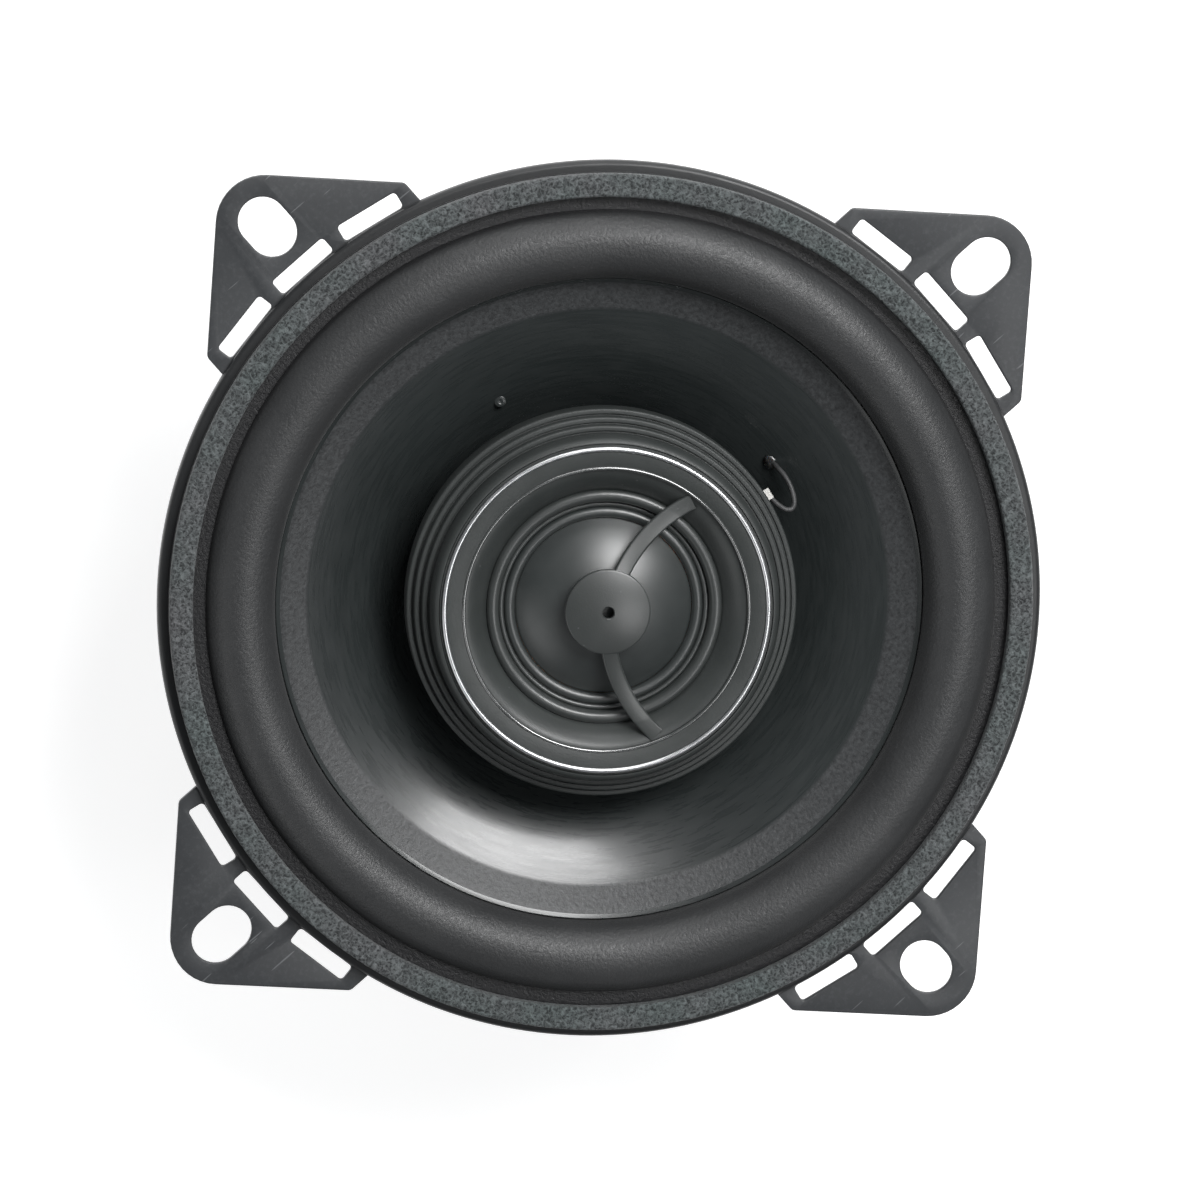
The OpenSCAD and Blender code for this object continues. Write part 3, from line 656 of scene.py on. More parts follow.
# Formed polymer film: smooth dark grey with a soft sheen.
FILM = plain("dome_film", (2.4, 3, (0.022, 0.0265, 0.026), (0.030, 0.035, 0.0345)),
             (0.25, 4, 0.38, 0.44), [(0.3, 3, 0.003), (2.4, 3, 0.010)],
             ior=1.6, coat_weight=0.9, coat_roughness=0.38)
# Bright plating with a light haze.
CHROME = plain("chrome", (1.5, 4, (0.76, 0.77, 0.78), (0.82, 0.83, 0.84)), (1.5, 4, 0.27, 0.35), [],
               metallic=1.0)
TINNED = tinned()
NICKEL = plain("nickel_magnet", (3, 4, (0.55, 0.54, 0.51), (0.66, 0.65, 0.62)),
               (0.8, 4, 0.16, 0.28), [(0.5, 3, 0.004)], metallic=1.0)
# Enamelled copper.
COPPER = plain("copper_wire", (1, 4, (0.44, 0.17, 0.08), (0.62, 0.27, 0.13)), (0.4, 3, 0.24, 0.36),
               [(0.3, 3, 0.006)], metallic=1.0, coat_weight=0.6, coat_roughness=0.12)
AMBER = amber_film()
CLOTH = woven("spider_cloth", (0.22, 0.13, 0.045), (0.50, 0.36, 0.16), 0.42, 0.09)
FELT = felt()
BOARD = phenolic_board()
# Shrink sleeve: glossy dark blue film with soft shrink waves.
SLEEVE = plain("capacitor_sleeve", (2.5, 3, (0.008, 0.012, 0.045), (0.013, 0.019, 0.066)),
               (0.8, 3, 0.22, 0.34), [(1.6, 2, 0.03), (0.3, 3, 0.004)],
               ior=1.5, coat_weight=0.6, coat_roughness=0.12)
CAN = plain("can_aluminium", (1.2, 4, (0.60, 0.61, 0.62), (0.74, 0.75, 0.76)),
            (0.5, 4, 0.26, 0.4), [(0.4, 3, 0.008)], metallic=1.0)
# Thin black PVC insulation.
INSULATION = plain("lead_insulation", (0.9, 3, (0.036, 0.037, 0.038), (0.060, 0.061, 0.062)),
                   (0.9, 3, 0.45, 0.55), [(0.9, 3, 0.02), (0.15, 3, 0.01)], ior=1.5)
# Tinned copper tinsel: silver strands with a warm cast where the tin is thin.
BRAID = plain("tinsel_braid", (0.5, 4, (0.55, 0.36, 0.24), (0.70, 0.62, 0.53)),
              (0.5, 4, 0.3, 0.45), [(0.12, 3, 0.01)], metallic=1.0)
GLUE = {"ior": 1.48, "subsurface_weight": 0.25, "subsurface_scale": 0.001, "coat_weight": 0.4,
        "coat_roughness": 0.15}
HOT_GLUE = plain("hot_glue", (1.2, 3, (0.55, 0.50, 0.36), (0.68, 0.63, 0.48)),
                 (0.5, 3, 0.25, 0.37), [(0.8, 3, 0.04)], **GLUE)
BLACK_GLUE = plain("black_glue", (1.2, 3, (0.010, 0.010, 0.010), (0.020, 0.020, 0.021)),
                   (0.5, 3, 0.22, 0.34), [(0.8, 3, 0.04)], **GLUE)
SOLDER = plain("solder", (0.7, 3, (0.66, 0.66, 0.66), (0.82, 0.82, 0.83)),
               (0.4, 3, 0.14, 0.3), [(0.5, 3, 0.012)], metallic=1.0)


# ---- camera

VIEW_TILT = (10.0, 6.5, 40.94)   # turns about the picture's X, Y and Z that bring the part into view
VIEW_DISTANCE = 1022.8
VIEW_WIDTH = 136.5               # width of the picture at the origin
SENSOR = 36.0

to_picture = spin(VIEW_TILT[0], "X", 3) @ spin(VIEW_TILT[1], "Y", 3) @ spin(VIEW_TILT[2], "Z", 3)
from_picture = to_picture.transposed()


def in_picture(x, y, z):
    """A point given to the right, up and towards the viewer, in the row frame and in metres."""
    return from_picture @ Vector((x, y, z)) * MM


camera_data = bpy.data.cameras.new("camera")
camera_data.sensor_width = SENSOR
camera_data.lens = SENSOR * VIEW_DISTANCE / VIEW_WIDTH
camera = in_scene("camera", camera_data)
camera.matrix_world = Matrix.Translation(in_picture(0, 0, VIEW_DISTANCE)) @ from_picture.to_4x4()
bpy.context.scene.camera = camera


# ---- frame

def basket_outline():
    """Section of the pressed frame: the raised rim, the wall, the spider landing and the flange."""
    front = [(RIM_R, 0), (RIM_R, RIM_TOP), (44.6, RIM_TOP), (43.6, 0.6), (38.0, -10.2), (32.4, SPIDER_SEAT),
             (27.2, SPIDER_SEAT), (24.6, FLANGE_TOP), (14.2, FLANGE_TOP)]
    back = [(14.2, FLANGE_UNDER), (25.2, FLANGE_UNDER), (27.8, -17.0), (32.8, -17.0), (38.7, -10.6),
            (44.5, 0.4), (44.9, SHEET_T), (RIM_R - SHEET_T, SHEET_T), (RIM_R - SHEET_T, 0)]
    radii = [0.2, 0.6, 0.5, 1.0, 2.5, 1.2, 1.0, 0.8, 0.15, 0.15, 1.4, 0.6, 1.8, 2.5, 1.0, 0.4, 0.2, 0.15]
    return rounded(front + back, radii, 5)


TAB_TIP_R = 93 / math.sqrt(2)
TAB_HALF_W = 14.85
TAB_ROOT_R = 50.1
SLOT_R = 57.5
SLOT_W = 5.5
SLOT_LENGTHS = [7.3, 7.3, 7.3, 6.4]
WINDOW_STEP = 10.5
UPRIGHT = Matrix(((0, 0, 1, 0), (1, 0, 0, 0), (0, 1, 0, 0), (0, 0, 0, 1)))   # turns +Z to +X


def tab_outline():
    side = math.degrees(math.asin(TAB_HALF_W / TAB_ROOT_R))
    corners = rounded([(TAB_ROOT_R * math.cos(math.radians(side)), -TAB_HALF_W),
                       (TAB_TIP_R - TAB_HALF_W, -TAB_HALF_W), (TAB_TIP_R, 0),
                       (TAB_TIP_R - TAB_HALF_W, TAB_HALF_W),
                       (TAB_ROOT_R * math.cos(math.radians(side)), TAB_HALF_W)], [0, 0.9, 5.5, 0.9, 0], 10)
    return corners + arc((0, 0), TAB_ROOT_R, side, -side, 16)[1:-1]


def slot_outline(length):
    half = (length - SLOT_W) / 2
    return (arc((SLOT_R + half, 0), SLOT_W / 2, -90, 90, 20)
            + arc((SLOT_R - half, 0), SLOT_W / 2, 90, 270, 20))


def tab_window(step):
    turn = Matrix.Rotation(math.radians(step * WINDOW_STEP), 2)
    loop = rounded(box_outline(RIM_R, RIM_R + 2, -3.8, 3.8), 0.45, 5)
    return [tuple(turn @ Vector(p)) for p in loop]


def build_basket():
    shell = piece("basket_shell", PAINT, lathe(basket_outline()))
    tabs = []
    for q, length in enumerate(SLOT_LENGTHS):
        holes = [slot_outline(length)] + [tab_window(i) for i in (-1, 0, 1)]
        tab = flat_plate(f"tab_{q}", tab_outline(), holes, 0, SHEET_T, 0.13)
        tab.rotation_euler.z = math.radians(90 * q)
        tabs.append(tab)
    plate = prism(rounded(box_outline(-2.6, 2.6, -11.8, -3.2), 0.5, 4), 0, SHEET_T)
    standing = moved(plate, Matrix.Translation((41.6, 0, 0)) @ UPRIGHT)
    flap = piece("flap", PAINT, turned_to(standing, SPOKE_ANGLE))
    cut(shell, tabs + [flap], "UNION")
    opening = rounded([(-15.5, -14.6), (15.5, -14.6), (21, -2.4), (-21, -2.4)], 3, 8)
    cutters = [piece(f"window_{q}", PAINT, turned_to(moved(prism(opening, 27.5, 49), UPRIGHT), 90 * q))
               for q in range(4)]
    cut(shell, cutters, "DIFFERENCE")
    smoothed(shell.data, 35)
    shell.data.materials.clear()
    shell.data.materials.append(PAINT)
    shell.name = "pressed_frame"
    stands_for(shell, "frame_paint", "frame", "basket")


def build_gasket():
    """The foam ring, with its skin moved in and out by a fraction of a cell."""
    outline = rounded(box_outline(GASKET_IN, GASKET_OUT, GASKET_FOOT, GASKET_TOP), 0.38, 5)
    spacing = 0.22
    dense = []
    for a, b in zip(outline, outline[1:] + outline[:1]):
        a, b = Vector(a), Vector(b)
        count = max(1, round((b - a).length / spacing))
        dense += [tuple(a.lerp(b, i / count)) for i in range(count)]
    points, faces = lathe(dense, 1080)
    middle = (GASKET_IN + GASKET_OUT) / 2
    height = (GASKET_FOOT + GASKET_TOP) / 2
    skin = []
    for p in points:
        axis = Vector((p.x, p.y, 0)).normalized() * middle + Vector((0, 0, height))
        dent = 0.035 * (noise.noise(p * 2.2) - 0.9) + 0.03 * noise.noise(p * 5.0)
        out = (p - axis).normalized()
        if p.z < GASKET_FOOT + 0.3:
            dent = min(dent, 0.0) * 0.3
        skin.append(p + out * dent)
    fixed("gasket_ring", FOAM, "foam", "gasket", (skin, faces), sharp=70)


def build_motor():
    fixed("top_plate_ring", ZINC, "zinc_plate", "top_plate",
          lathe(rounded(box_outline(13.6, PLATE_R, MAGNET_TOP, FLANGE_UNDER), 0.4)))
    fixed("ferrite_ring", FERRITE, "ferrite", "ring_magnet",
          lathe(rounded(box_outline(16.0, MAGNET_R, BACK_TOP, MAGNET_TOP), 0.8)))
    bore, seat_r, seat = 2.3, 4.7, BACK_UNDER + 2.8
    outline = [(seat_r, BACK_UNDER), (PLATE_R, BACK_UNDER), (PLATE_R, BACK_TOP), (POLE_R, BACK_TOP),
               (POLE_R, FLANGE_UNDER), (bore, FLANGE_UNDER), (bore, seat), (seat_r, seat)]
    fixed("t_yoke", ZINC, "zinc_plate", "yoke",
          lathe(rounded(outline, [0.3, 1.3, 0.3, 0.4, 0.4, 0.2, 0.1, 0.2])))
    # Rivet heads that hold the frame on the top plate.
    head = [(0, FLANGE_TOP), (2.3, FLANGE_TOP), (2.3, FLANGE_TOP + 0.15)]
    head += arc((0, FLANGE_TOP - 3.1), 3.9, 48, 90, 8)[1:-1] + [(0, FLANGE_TOP + 0.8)]
    shank = box_outline(0, 1.45, FLANGE_UNDER - 2.4, FLANGE_TOP)
    rivets = [turned_to(moved(joined([lathe(head, 48), lathe(shank, 32)]), Matrix.Translation((19.5, 0, 0))),
                        SPOKE_ANGLE + 90 * q) for q in range(4)]
    fixed("flange_rivet_heads", ZINC, "zinc_plate", "flange_rivets", *rivets)


# ---- cone, surround and spider

ROLL_CENTRE = (41.2, 1.0)
SEAL_R = 49.3
FLANGE_IN = CONE_R - 1.9
SPIDER_T = 0.4
SPIDER_ROLLS = (15.2, 26.4)


def cone_z(r):
    """Front face of the cone at radius r."""
    if r > LIP_R:
        return -LIP_DROP * (CONE_R - r) / (CONE_R - LIP_R)
    t = (LIP_R - r) / (LIP_R - NECK_R)
    return -LIP_DROP - (CONE_DEPTH - LIP_DROP) * (0.5 * t + 0.5 * t * t)


def sheet_outline(middle, thickness):
    """A closed outline round a middle line of (radius, z) points."""
    m = [Vector(p) for p in middle]
    upper, under = [], []
    for i, p in enumerate(m):
        d = (m[min(i + 1, len(m) - 1)] - m[max(i - 1, 0)]).normalized()
        side = Vector((-d.y, d.x)) * thickness / 2
        upper.append(tuple(p + side))
        under.append(tuple(p - side))
    return upper + under[::-1]


def roll_end(side):
    """Angle at which one side of the half roll meets the same side of the outer band."""
    rise = RIM_TOP + SURROUND_T / 2 + side - ROLL_CENTRE[1]
    return math.degrees(math.asin(rise / (ROLL_R + side)))


def build_surround():
    """Rubber ring: glued under the cone's edge, one half roll, and an outer band under the gasket."""
    slope = LIP_DROP / (CONE_R - LIP_R)
    half = SURROUND_T / 2
    inner = ROLL_CENTRE[0] - ROLL_R
    outline = [(FLANGE_IN, -CONE_T - slope * (CONE_R - FLANGE_IN)), (CONE_R, -CONE_T),
               (inner - half, -CONE_T)]
    outline += arc(ROLL_CENTRE, ROLL_R + half, 180, roll_end(half), 48)
    outline += [(SEAL_R, RIM_TOP + SURROUND_T), (SEAL_R, RIM_TOP)]
    outline += arc(ROLL_CENTRE, ROLL_R - half, roll_end(-half), 180, 48)
    outline += [(inner + half, -CONE_T - SURROUND_T), (CONE_R, -CONE_T - SURROUND_T),
                (FLANGE_IN, -CONE_T - SURROUND_T - slope * (CONE_R - FLANGE_IN))]
    surround = piece("rubber_surround", RUBBER, lathe(outline), sharp=50)
    weights = weights_by_radius(surround, inner, ROLL_CENTRE[0] + ROLL_R)
    bends(surround, "surround_rubber", "cone", weights, "surround")


def build_cone():
    """Cone with its edge turned up a little."""
    steps = 40
    line = [(CONE_R, 0.0)] + [(LIP_R - (LIP_R - NECK_R) * i / steps, 0.0) for i in range(steps + 1)]
    front = [(r, cone_z(r)) for r, _ in line]
    back = [(r, cone_z(r) - CONE_T) for r, _ in line if r > NECK_R + CONE_T]
    neck_foot = -CONE_DEPTH - 1.6
    width, rise = EDGE_LIP
    edge = CONE_R + EDGE_REACH
    lip = [(edge - width * t, cone_z(edge - width * t) + rise * (1 - t) ** 2)
           for t in np.linspace(0.07, 1, 12)]
    outline = [(CONE_R, -CONE_T), (edge, EDGE_UNDER), (edge, lip[0][1] - 0.07)] + lip + front[1:]
    outline += [(NECK_R, neck_foot), (NECK_R + CONE_T, neck_foot), (NECK_R + CONE_T, -CONE_DEPTH - 0.1)]
    shell = piece("cone_shell", CONE, lathe(outline + back[:0:-1]), sharp=40)
    stands_for(shell, "cone_plastic", "cone", "cone")


EYELETS = [(24.7, 75.0), (21.0, 15.0)]


def build_eyelets():
    """Crimped eyelets where the tinsel leads meet the cone."""
    solids = []
    for r, angle in EYELETS:
        z = cone_z(r)
        barrel = rounded([(0, -1.9), (0.7, -1.9), (0.7, 0.2), (0.62, 0.34), (0.3, 0.38), (0, 0.26)],
                         [0, 0, 0.2, 0.1, 0.1, 0])
        foot = rounded([(0, -2.4), (1.1, -2.4), (1.1, -1.8), (0, -1.8)], [0, 0.15, 0.15, 0])
        solids.append(moved(joined([lathe(barrel, 32), lathe(foot, 32)]),
                            Matrix.Translation(polar(r, angle, z))))
    stands_for(piece("lead_eyelets", CONE, *solids), "cone_plastic", "cone", "cone_eyelets")


def coil_outline(r_in, r_out, z0, z1, wire):
    """Section of a winding, with a ripple for each turn of wire."""
    turns = round((z1 - z0) / wire)
    pitch = (z1 - z0) / turns
    bumps = [(r_out - 0.3 * wire * (1 - abs(math.sin(math.pi * k / 4))), z0 + pitch * k / 4)
             for k in range(turns * 4 + 1)]
    return [(r_in, z0)] + bumps + [(r_in, z1)]


def build_voice_coil():
    former = piece("former_tube", AMBER, lathe(box_outline(12.6, 12.8, -30.6, -CONE_DEPTH + 1.4)))
    stands_for(former, "amber_film", "cone", "coil_former")
    coil = piece("winding", COPPER, lathe(coil_outline(12.81, 13.2, -29.6, -21.2, 0.28)), sharp=80)
    stands_for(coil, "copper_wire", "cone", "voice_coil")


def build_spider():
    start, end = SPIDER_ROLLS
    line = [13.55] + [start + (end - start) * i / 120 for i in range(121)] + [28.0, 29.5, 31.6]
    middle = []
    for r in line:
        t = (r - start) / (end - start)
        wave = 0.75 * math.sin(10 * math.pi * t) if 0 <= t <= 1 else 0.0
        middle.append((r, SPIDER_SEAT + SPIDER_T / 2 + wave))
    spider = piece("corrugated_spider", CLOTH, lathe(sheet_outline(middle, SPIDER_T)), sharp=60)
    bends(spider, "spider_cloth", "cone", weights_by_radius(spider, start, end), "spider")
    # A bead of black cement round the neck.
    neck = lathe(rounded([(13.5, -17.05), (14.7, -16.0), (13.5, -14.9)], 0.35, 6))
    stands_for(piece("neck_cement", BLACK_GLUE, neck), "glue", "cone")


# ---- tweeter

STEP_W, STEP_H, STEP_COUNT = 0.8, 1.1, 3
FIRST_STEP_Z = 1.9
GROOVE_W = 0.22
SHOULDER_R = HOUSING_R - STEP_W * STEP_COUNT
SHOULDER = (0.85, 1.6)
FACE_R = 18.15
TRIM_R = 0.28
TRIM_MID_R = FACE_R + 0.02 + TRIM_R
RING_SEAT = FACE_Z + 0.05 - TRIM_R
CUP_FLOOR = -3.8


def flare_z(r):
    t = max((FLARE_OUT[0] - r) / (FLARE_OUT[0] - FLARE_IN[0]), 0.0)
    return FLARE_IN[1] + (FLARE_OUT[1] - FLARE_IN[1]) * (1 - t ** 1.6)


def build_housing():
    """Stepped drum that stands in the middle of the cone, with a fine groove at the foot of each step."""
    outline, radii = [(HOUSING_BORE, HOUSING_FOOT), (HOUSING_R, HOUSING_FOOT)], [0.1, 0.3]
    for i in range(STEP_COUNT):
        r, z = HOUSING_R - i * STEP_W, FIRST_STEP_Z + i * STEP_H
        inner = r - STEP_W
        outline += [(r, z), (inner + GROOVE_W, z), (inner + GROOVE_W, z - GROOVE_W), (inner, z - GROOVE_W)]
        radii += [0.24, 0.06, 0.05, 0.05]
    top = [(SHOULDER_R + SHOULDER[0] * (x - 1), FACE_Z - 0.1 + SHOULDER[1] * (y - 1))
           for x, y in arc((0, 0), 1, 0, 90, 16)]
    outline += top + [(HOUSING_BORE, FACE_Z - 0.4)]
    radii += [0.0] * (len(top) + 1)
    fixed("tweeter_drum", PLASTIC, "moulded_plastic", "tweeter_housing",
          lathe(rounded(outline, radii, 6)))


def build_faceplate():
    """Front plate: a bead, a rounded lip, a flare, the ring face and the chromed ring's seat."""
    under = DOME_BASE + 0.05
    lip = arc((11.7, under + 0.15), 0.3, 180, 20, 12) + arc((12.75, under + 0.75), 0.72, 165, 25, 20)
    flare = [(r, flare_z(r)) for r in np.linspace(FLARE_IN[0], FLARE_OUT[0], 16).tolist()]
    edge = [(FLARE_OUT[0] + 0.05, FACE_Z - 0.16), (FLARE_OUT[0] + 0.3, FACE_Z - 0.08),
            (FLARE_OUT[0] + 0.45, FACE_Z)]
    skirt = HOUSING_BORE - 0.05
    rest = [(FACE_R, FACE_Z), (FACE_R, RING_SEAT), (skirt, RING_SEAT), (skirt, 0), (skirt - 1.6, 0),
            (skirt - 1.6, FACE_Z - 1.4), (FLARE_OUT[0] + 0.6, FACE_Z - 1.4), (13.7, under)]
    fixed("tweeter_front", PLASTIC, "moulded_plastic", "tweeter_faceplate",
          lathe([(11.4, under)] + lip + flare + edge + rest), sharp=50)
    bead = arc((FLARE_OUT[0] + EDGE_BEAD_R, FACE_Z - 0.02), EDGE_BEAD_R, 0, 345, 23)
    fixed("flare_edge", POLISHED, "moulded_plastic", None, lathe(bead, 240))
    trim = arc((TRIM_MID_R, RING_SEAT + TRIM_R), TRIM_R, 0, 345, 23)
    fixed("chromed_ring", CHROME, "chrome", "trim_ring", lathe(trim, 360))


def dome_line(sphere_r, r_out, n=20):
    top = math.asin(r_out / sphere_r)
    return [(sphere_r * math.sin(top * i / n), DOME_CENTRE + sphere_r * math.cos(top * i / n))
            for i in range(n + 1)]


def build_dome():
    skirt = [(DOME_R, DOME_BASE - 0.1), (DOME_R - 0.3, DOME_BASE - 0.1)]
    under = dome_line(DOME_SPHERE_R - 0.2, DOME_R - 0.3)[::-1]
    dome = piece("dome_skin", FILM, lathe(dome_line(DOME_SPHERE_R, DOME_R) + skirt + under), sharp=40)
    stands_for(dome, "dome_film", "tweeter_diaphragm", "tweeter_dome")
    foot = DOME_BASE - 0.1 + 0.075
    roll = [(DOME_R + 0.05, foot)] + arc((10.75, foot), 0.55, 180, 0, 16) + [(12.4, foot)]
    ring = piece("dome_roll", FILM, lathe(sheet_outline(roll, 0.15)), sharp=60)
    weights = weights_by_radius(ring, 10.2, 11.3)
    bends(ring, "surround_rubber", "tweeter_diaphragm", weights, "tweeter_surround")


DIFFUSER_ANGLE = -49.5
CAP_R = 4.85
CAP_HOLE_R = 0.65
ARM_W = 1.9
ARM_T = 0.7
ARM_END_Z = FACE_Z - 0.25
ARM_DROP = 1.4
ARM_FOOT = (14.4, 15.0, 15.65)


def arm_point(r):
    """Middle of an arm at radius r from the axis: the arm bends as it goes out."""
    return polar(r, 78.1 - 1.69 * (r - CAP_R))


def arm_heights(r):
    """(underside, top) of an arm: a fall over the dome, then a foot on the flare."""
    knee, foot, end = ARM_FOOT
    top = ARM_END_Z + ARM_DROP * ((end - r) / (end - CAP_R)) ** 2
    share = min(max((r - knee) / (foot - knee), 0.0), 1.0)
    return (1 - share) * (top - ARM_T) + share * flare_z(r), top


def diffuser_arm(mirror):
    """A curved bar of rounded rectangular section."""
    steps, round_r = 48, 0.28
    radii = [CAP_R - 0.6 + (ARM_FOOT[2] - CAP_R + 0.6) * i / steps for i in range(steps + 1)]
    rings = []
    for r in radii:
        d = (arm_point(r + 0.05) - arm_point(r - 0.05)).normalized()
        side = Vector((-d.y, d.x, 0))
        z0, z1 = arm_heights(r)
        section = rounded(box_outline(-ARM_W / 2, ARM_W / 2, z0, z1), round_r, 4)
        rings.append([arm_point(r) + side * x + Vector((0, 0, z)) for x, z in section])
    n = len(rings[0])
    points = [p for ring in rings for p in ring]
    faces = [list(range(n))[::-1], [steps * n + k for k in range(n)]]
    for i in range(steps):
        faces += [[i * n + k, i * n + (k + 1) % n, (i + 1) * n + (k + 1) % n, (i + 1) * n + k]
                  for k in range(n)]
    if mirror:
        points = [Vector((p.x, -p.y, p.z)) for p in points]
    return points, faces


def build_diffuser():
    upper = [p for p in dome_line(DOME_SPHERE_R + 1.9, CAP_R) if p[0] > CAP_HOLE_R]
    under = [p for p in dome_line(DOME_SPHERE_R + 1.1, CAP_R) if p[0] > CAP_HOLE_R]
    edge = rounded([upper[-2], upper[-1], under[-1], under[-2]], [0, 0.3, 0.3, 0], 5)[1:-1]
    hole = [(CAP_HOLE_R, under[0][1]), (CAP_HOLE_R, upper[0][1] - 0.1), (CAP_HOLE_R + 0.1, upper[0][1])]
    cap = lathe(hole + upper[1:-1] + edge + under[:-1][::-1], SMALL_TURN)
    whole = piece("diffuser_cap", PLASTIC, turned_to(cap, DIFFUSER_ANGLE))
    arms = [piece(f"arm_{k}", PLASTIC, turned_to(diffuser_arm(k), DIFFUSER_ANGLE)) for k in (0, 1)]
    cut(whole, arms, "UNION")
    smoothed(whole.data, 40)
    whole.name = "diffuser_bridge"
    stands_for(whole, "moulded_plastic", "frame", "diffuser")


def build_tweeter_body():
    """The cup under the tweeter and the post that carries it."""
    hub = [(4.05, -5.2), (13.9, -5.2), (13.9, HOUSING_FOOT), (HOUSING_BORE - 0.05, HOUSING_FOOT),
           (HOUSING_BORE - 0.05, 0), (12.5, 0), (12.5, CUP_FLOOR), (4.05, CUP_FLOOR)]
    fixed("tweeter_cup", PLASTIC, "moulded_plastic", "tweeter_base",
          lathe(rounded(hub, [0.2, 0.9, 0.4, 0.2, 0.1, 0.3, 0.3, 0.1])))
    foot_top = FLANGE_UNDER + 2
    stem = [(2.05, FLANGE_UNDER), (10.4, FLANGE_UNDER), (10.4, foot_top), (6.5, foot_top + 0.6),
            (6.5, -5.2), (4.0, -5.2), (4.0, CUP_FLOOR), (0, CUP_FLOOR), (0, -8.0), (2.05, -8.0)]
    fixed("tweeter_stem", PLASTIC, "moulded_plastic", "tweeter_post",
          lathe(rounded(stem, [0.1, 0.3, 0.4, 2.0, 0.3, 0.1, 0.2, 0, 0, 0.1]), SMALL_TURN))


# ---- leads
# Routes of the internal leads as (radius, angle, height), from their first end to their last.

PIGTAIL_ROUTES = [
    [(22.5, -10.1, -2.05), (22.8, -12.4, -2.1), (23.1, -14.6, -2.1), (23.6, -16.6, -2.1), (24.3, -17.3, -2.2),
     (24.9, -16, -2.4), (25.3, -12.8, -2.8), (25.4, -9.4, -3.4), (25.25, -6.6, -4.2), (25.1, -5, -5.8)],
    [(21.3, 4, -2.05), (20.9, 7, -2.4), (20.7, 10.4, -3.8), (20.6, 11, -5.6), (20.8, 9, -8.8)]]
FEED_ROUTES = [
    [(25.1, -5, -5.8), (25.3, -4.2, -8.4), (27, 1.8, -11), (31, 10.4, -12.2), (37.2, 20.4, -12.4),
     (40.6, 25.2, -13.2), (41.2, 28.4, -14.6), (40.1, 30.6, -15.4)],
    [(20.8, 9, -8.8), (21.2, 9.4, -10.6), (25, 12, -11.4), (31.5, 16, -11), (37.2, 21.2, -10.8),
     (41.8, 26, -10.6), (43.9, 29.4, -10.2), (44.6, 32.2, -9.9)]]
TINSEL_ROUTES = [
    [(44.7, 57.8, -8.9), (43.8, 60.4, -8.9), (41.2, 63.6, -9.3), (37.6, 66.4, -9.9), (32, 69.6, -10.6),
     (27.4, 72.6, -10.3), (25.2, 74.6, -9.4), (24.7, 75, -8)],
    [(44.7, 32.2, -8.6), (43.8, 29.6, -8.7), (41.2, 26.2, -9.1), (37.6, 23.2, -9.7), (31, 19.6, -10.8),
     (25, 16.8, -12.1), (21.9, 15.4, -11.9), (21, 15, -10.62)]]
WIRE_R = 0.3
WIRE_SIDES = 12
STRAND_R = 0.1
BRAID_PITCH = 1.9


def route_path(route, steps):
    return smooth_path([polar(*p) for p in route], steps)


def lengths_along(path):
    """Distance along a path at each of its points, from 0 to 1, and its whole length."""
    total = [0.0]
    for a, b in zip(path, path[1:]):
        total.append(total[-1] + (b - a).length)
    return [t / total[-1] for t in total], total[-1]


def braid(path, radius):
    """Strands wound both ways round a path: (solids, blend fraction of every vertex)."""
    share, length = lengths_along(path)
    solids, fractions = [], []
    frames = frames_along(path)
    for strand in range(8):
        way = 1 if strand % 2 else -1
        start = 2 * math.pi * strand / 8
        line = []
        for i, (centre, (side, up)) in enumerate(zip(path, frames)):
            a = start + way * 2 * math.pi * share[i] * length / BRAID_PITCH
            reach = radius - STRAND_R + 0.03 * math.sin(2 * a)
            line.append(centre + reach * (math.cos(a) * side + math.sin(a) * up))
        solids.append(tube(line, STRAND_R, 6))
        fractions += [f for f in share for _ in range(6)]
    return solids, fractions


def build_leads():
    """Pigtails run from the frame to the cone, and feed leads from the cone to the frame."""
    leads = (("pigtail_leads", "tweeter_pigtails", PIGTAIL_ROUTES, False),
             ("feed_leads", "tweeter_feed_leads", FEED_ROUTES, True))
    for name, node, routes, from_cone in leads:
        paths = [route_path(route, 8) for route in routes]
        obj = piece(name, INSULATION, *[tube(path, WIRE_R, WIRE_SIDES) for path in paths], sharp=60)
        shares = [f for path in paths for f in lengths_along(path)[0] for _ in range(WIRE_SIDES)]
        weights = [1 - ease(f) if from_cone else ease(f) for f in shares]
        bends(obj, "lead_insulation", "cone", weights, node)
    for name, route in zip(("positive", "negative"), TINSEL_ROUTES):
        solids, fractions = braid(route_path(route, 24), 0.35)
        obj = piece(f"tinsel_{name}", BRAID, *solids, sharp=80)
        bends(obj, "tinsel_braid", "cone", [ease(f) for f in fractions], f"tinsel_lead_{name}")


# ---- terminals and capacitor

CAPACITOR_AT = (38.75, -15.5)
CAPACITOR_R = 3.15
CAPACITOR_L = 11.0


def on_spoke(x, y, z):
    """A point given outwards, along and up on the spoke that carries the terminals."""
    return spin(SPOKE_ANGLE, size=3) @ Vector((x, y, z))


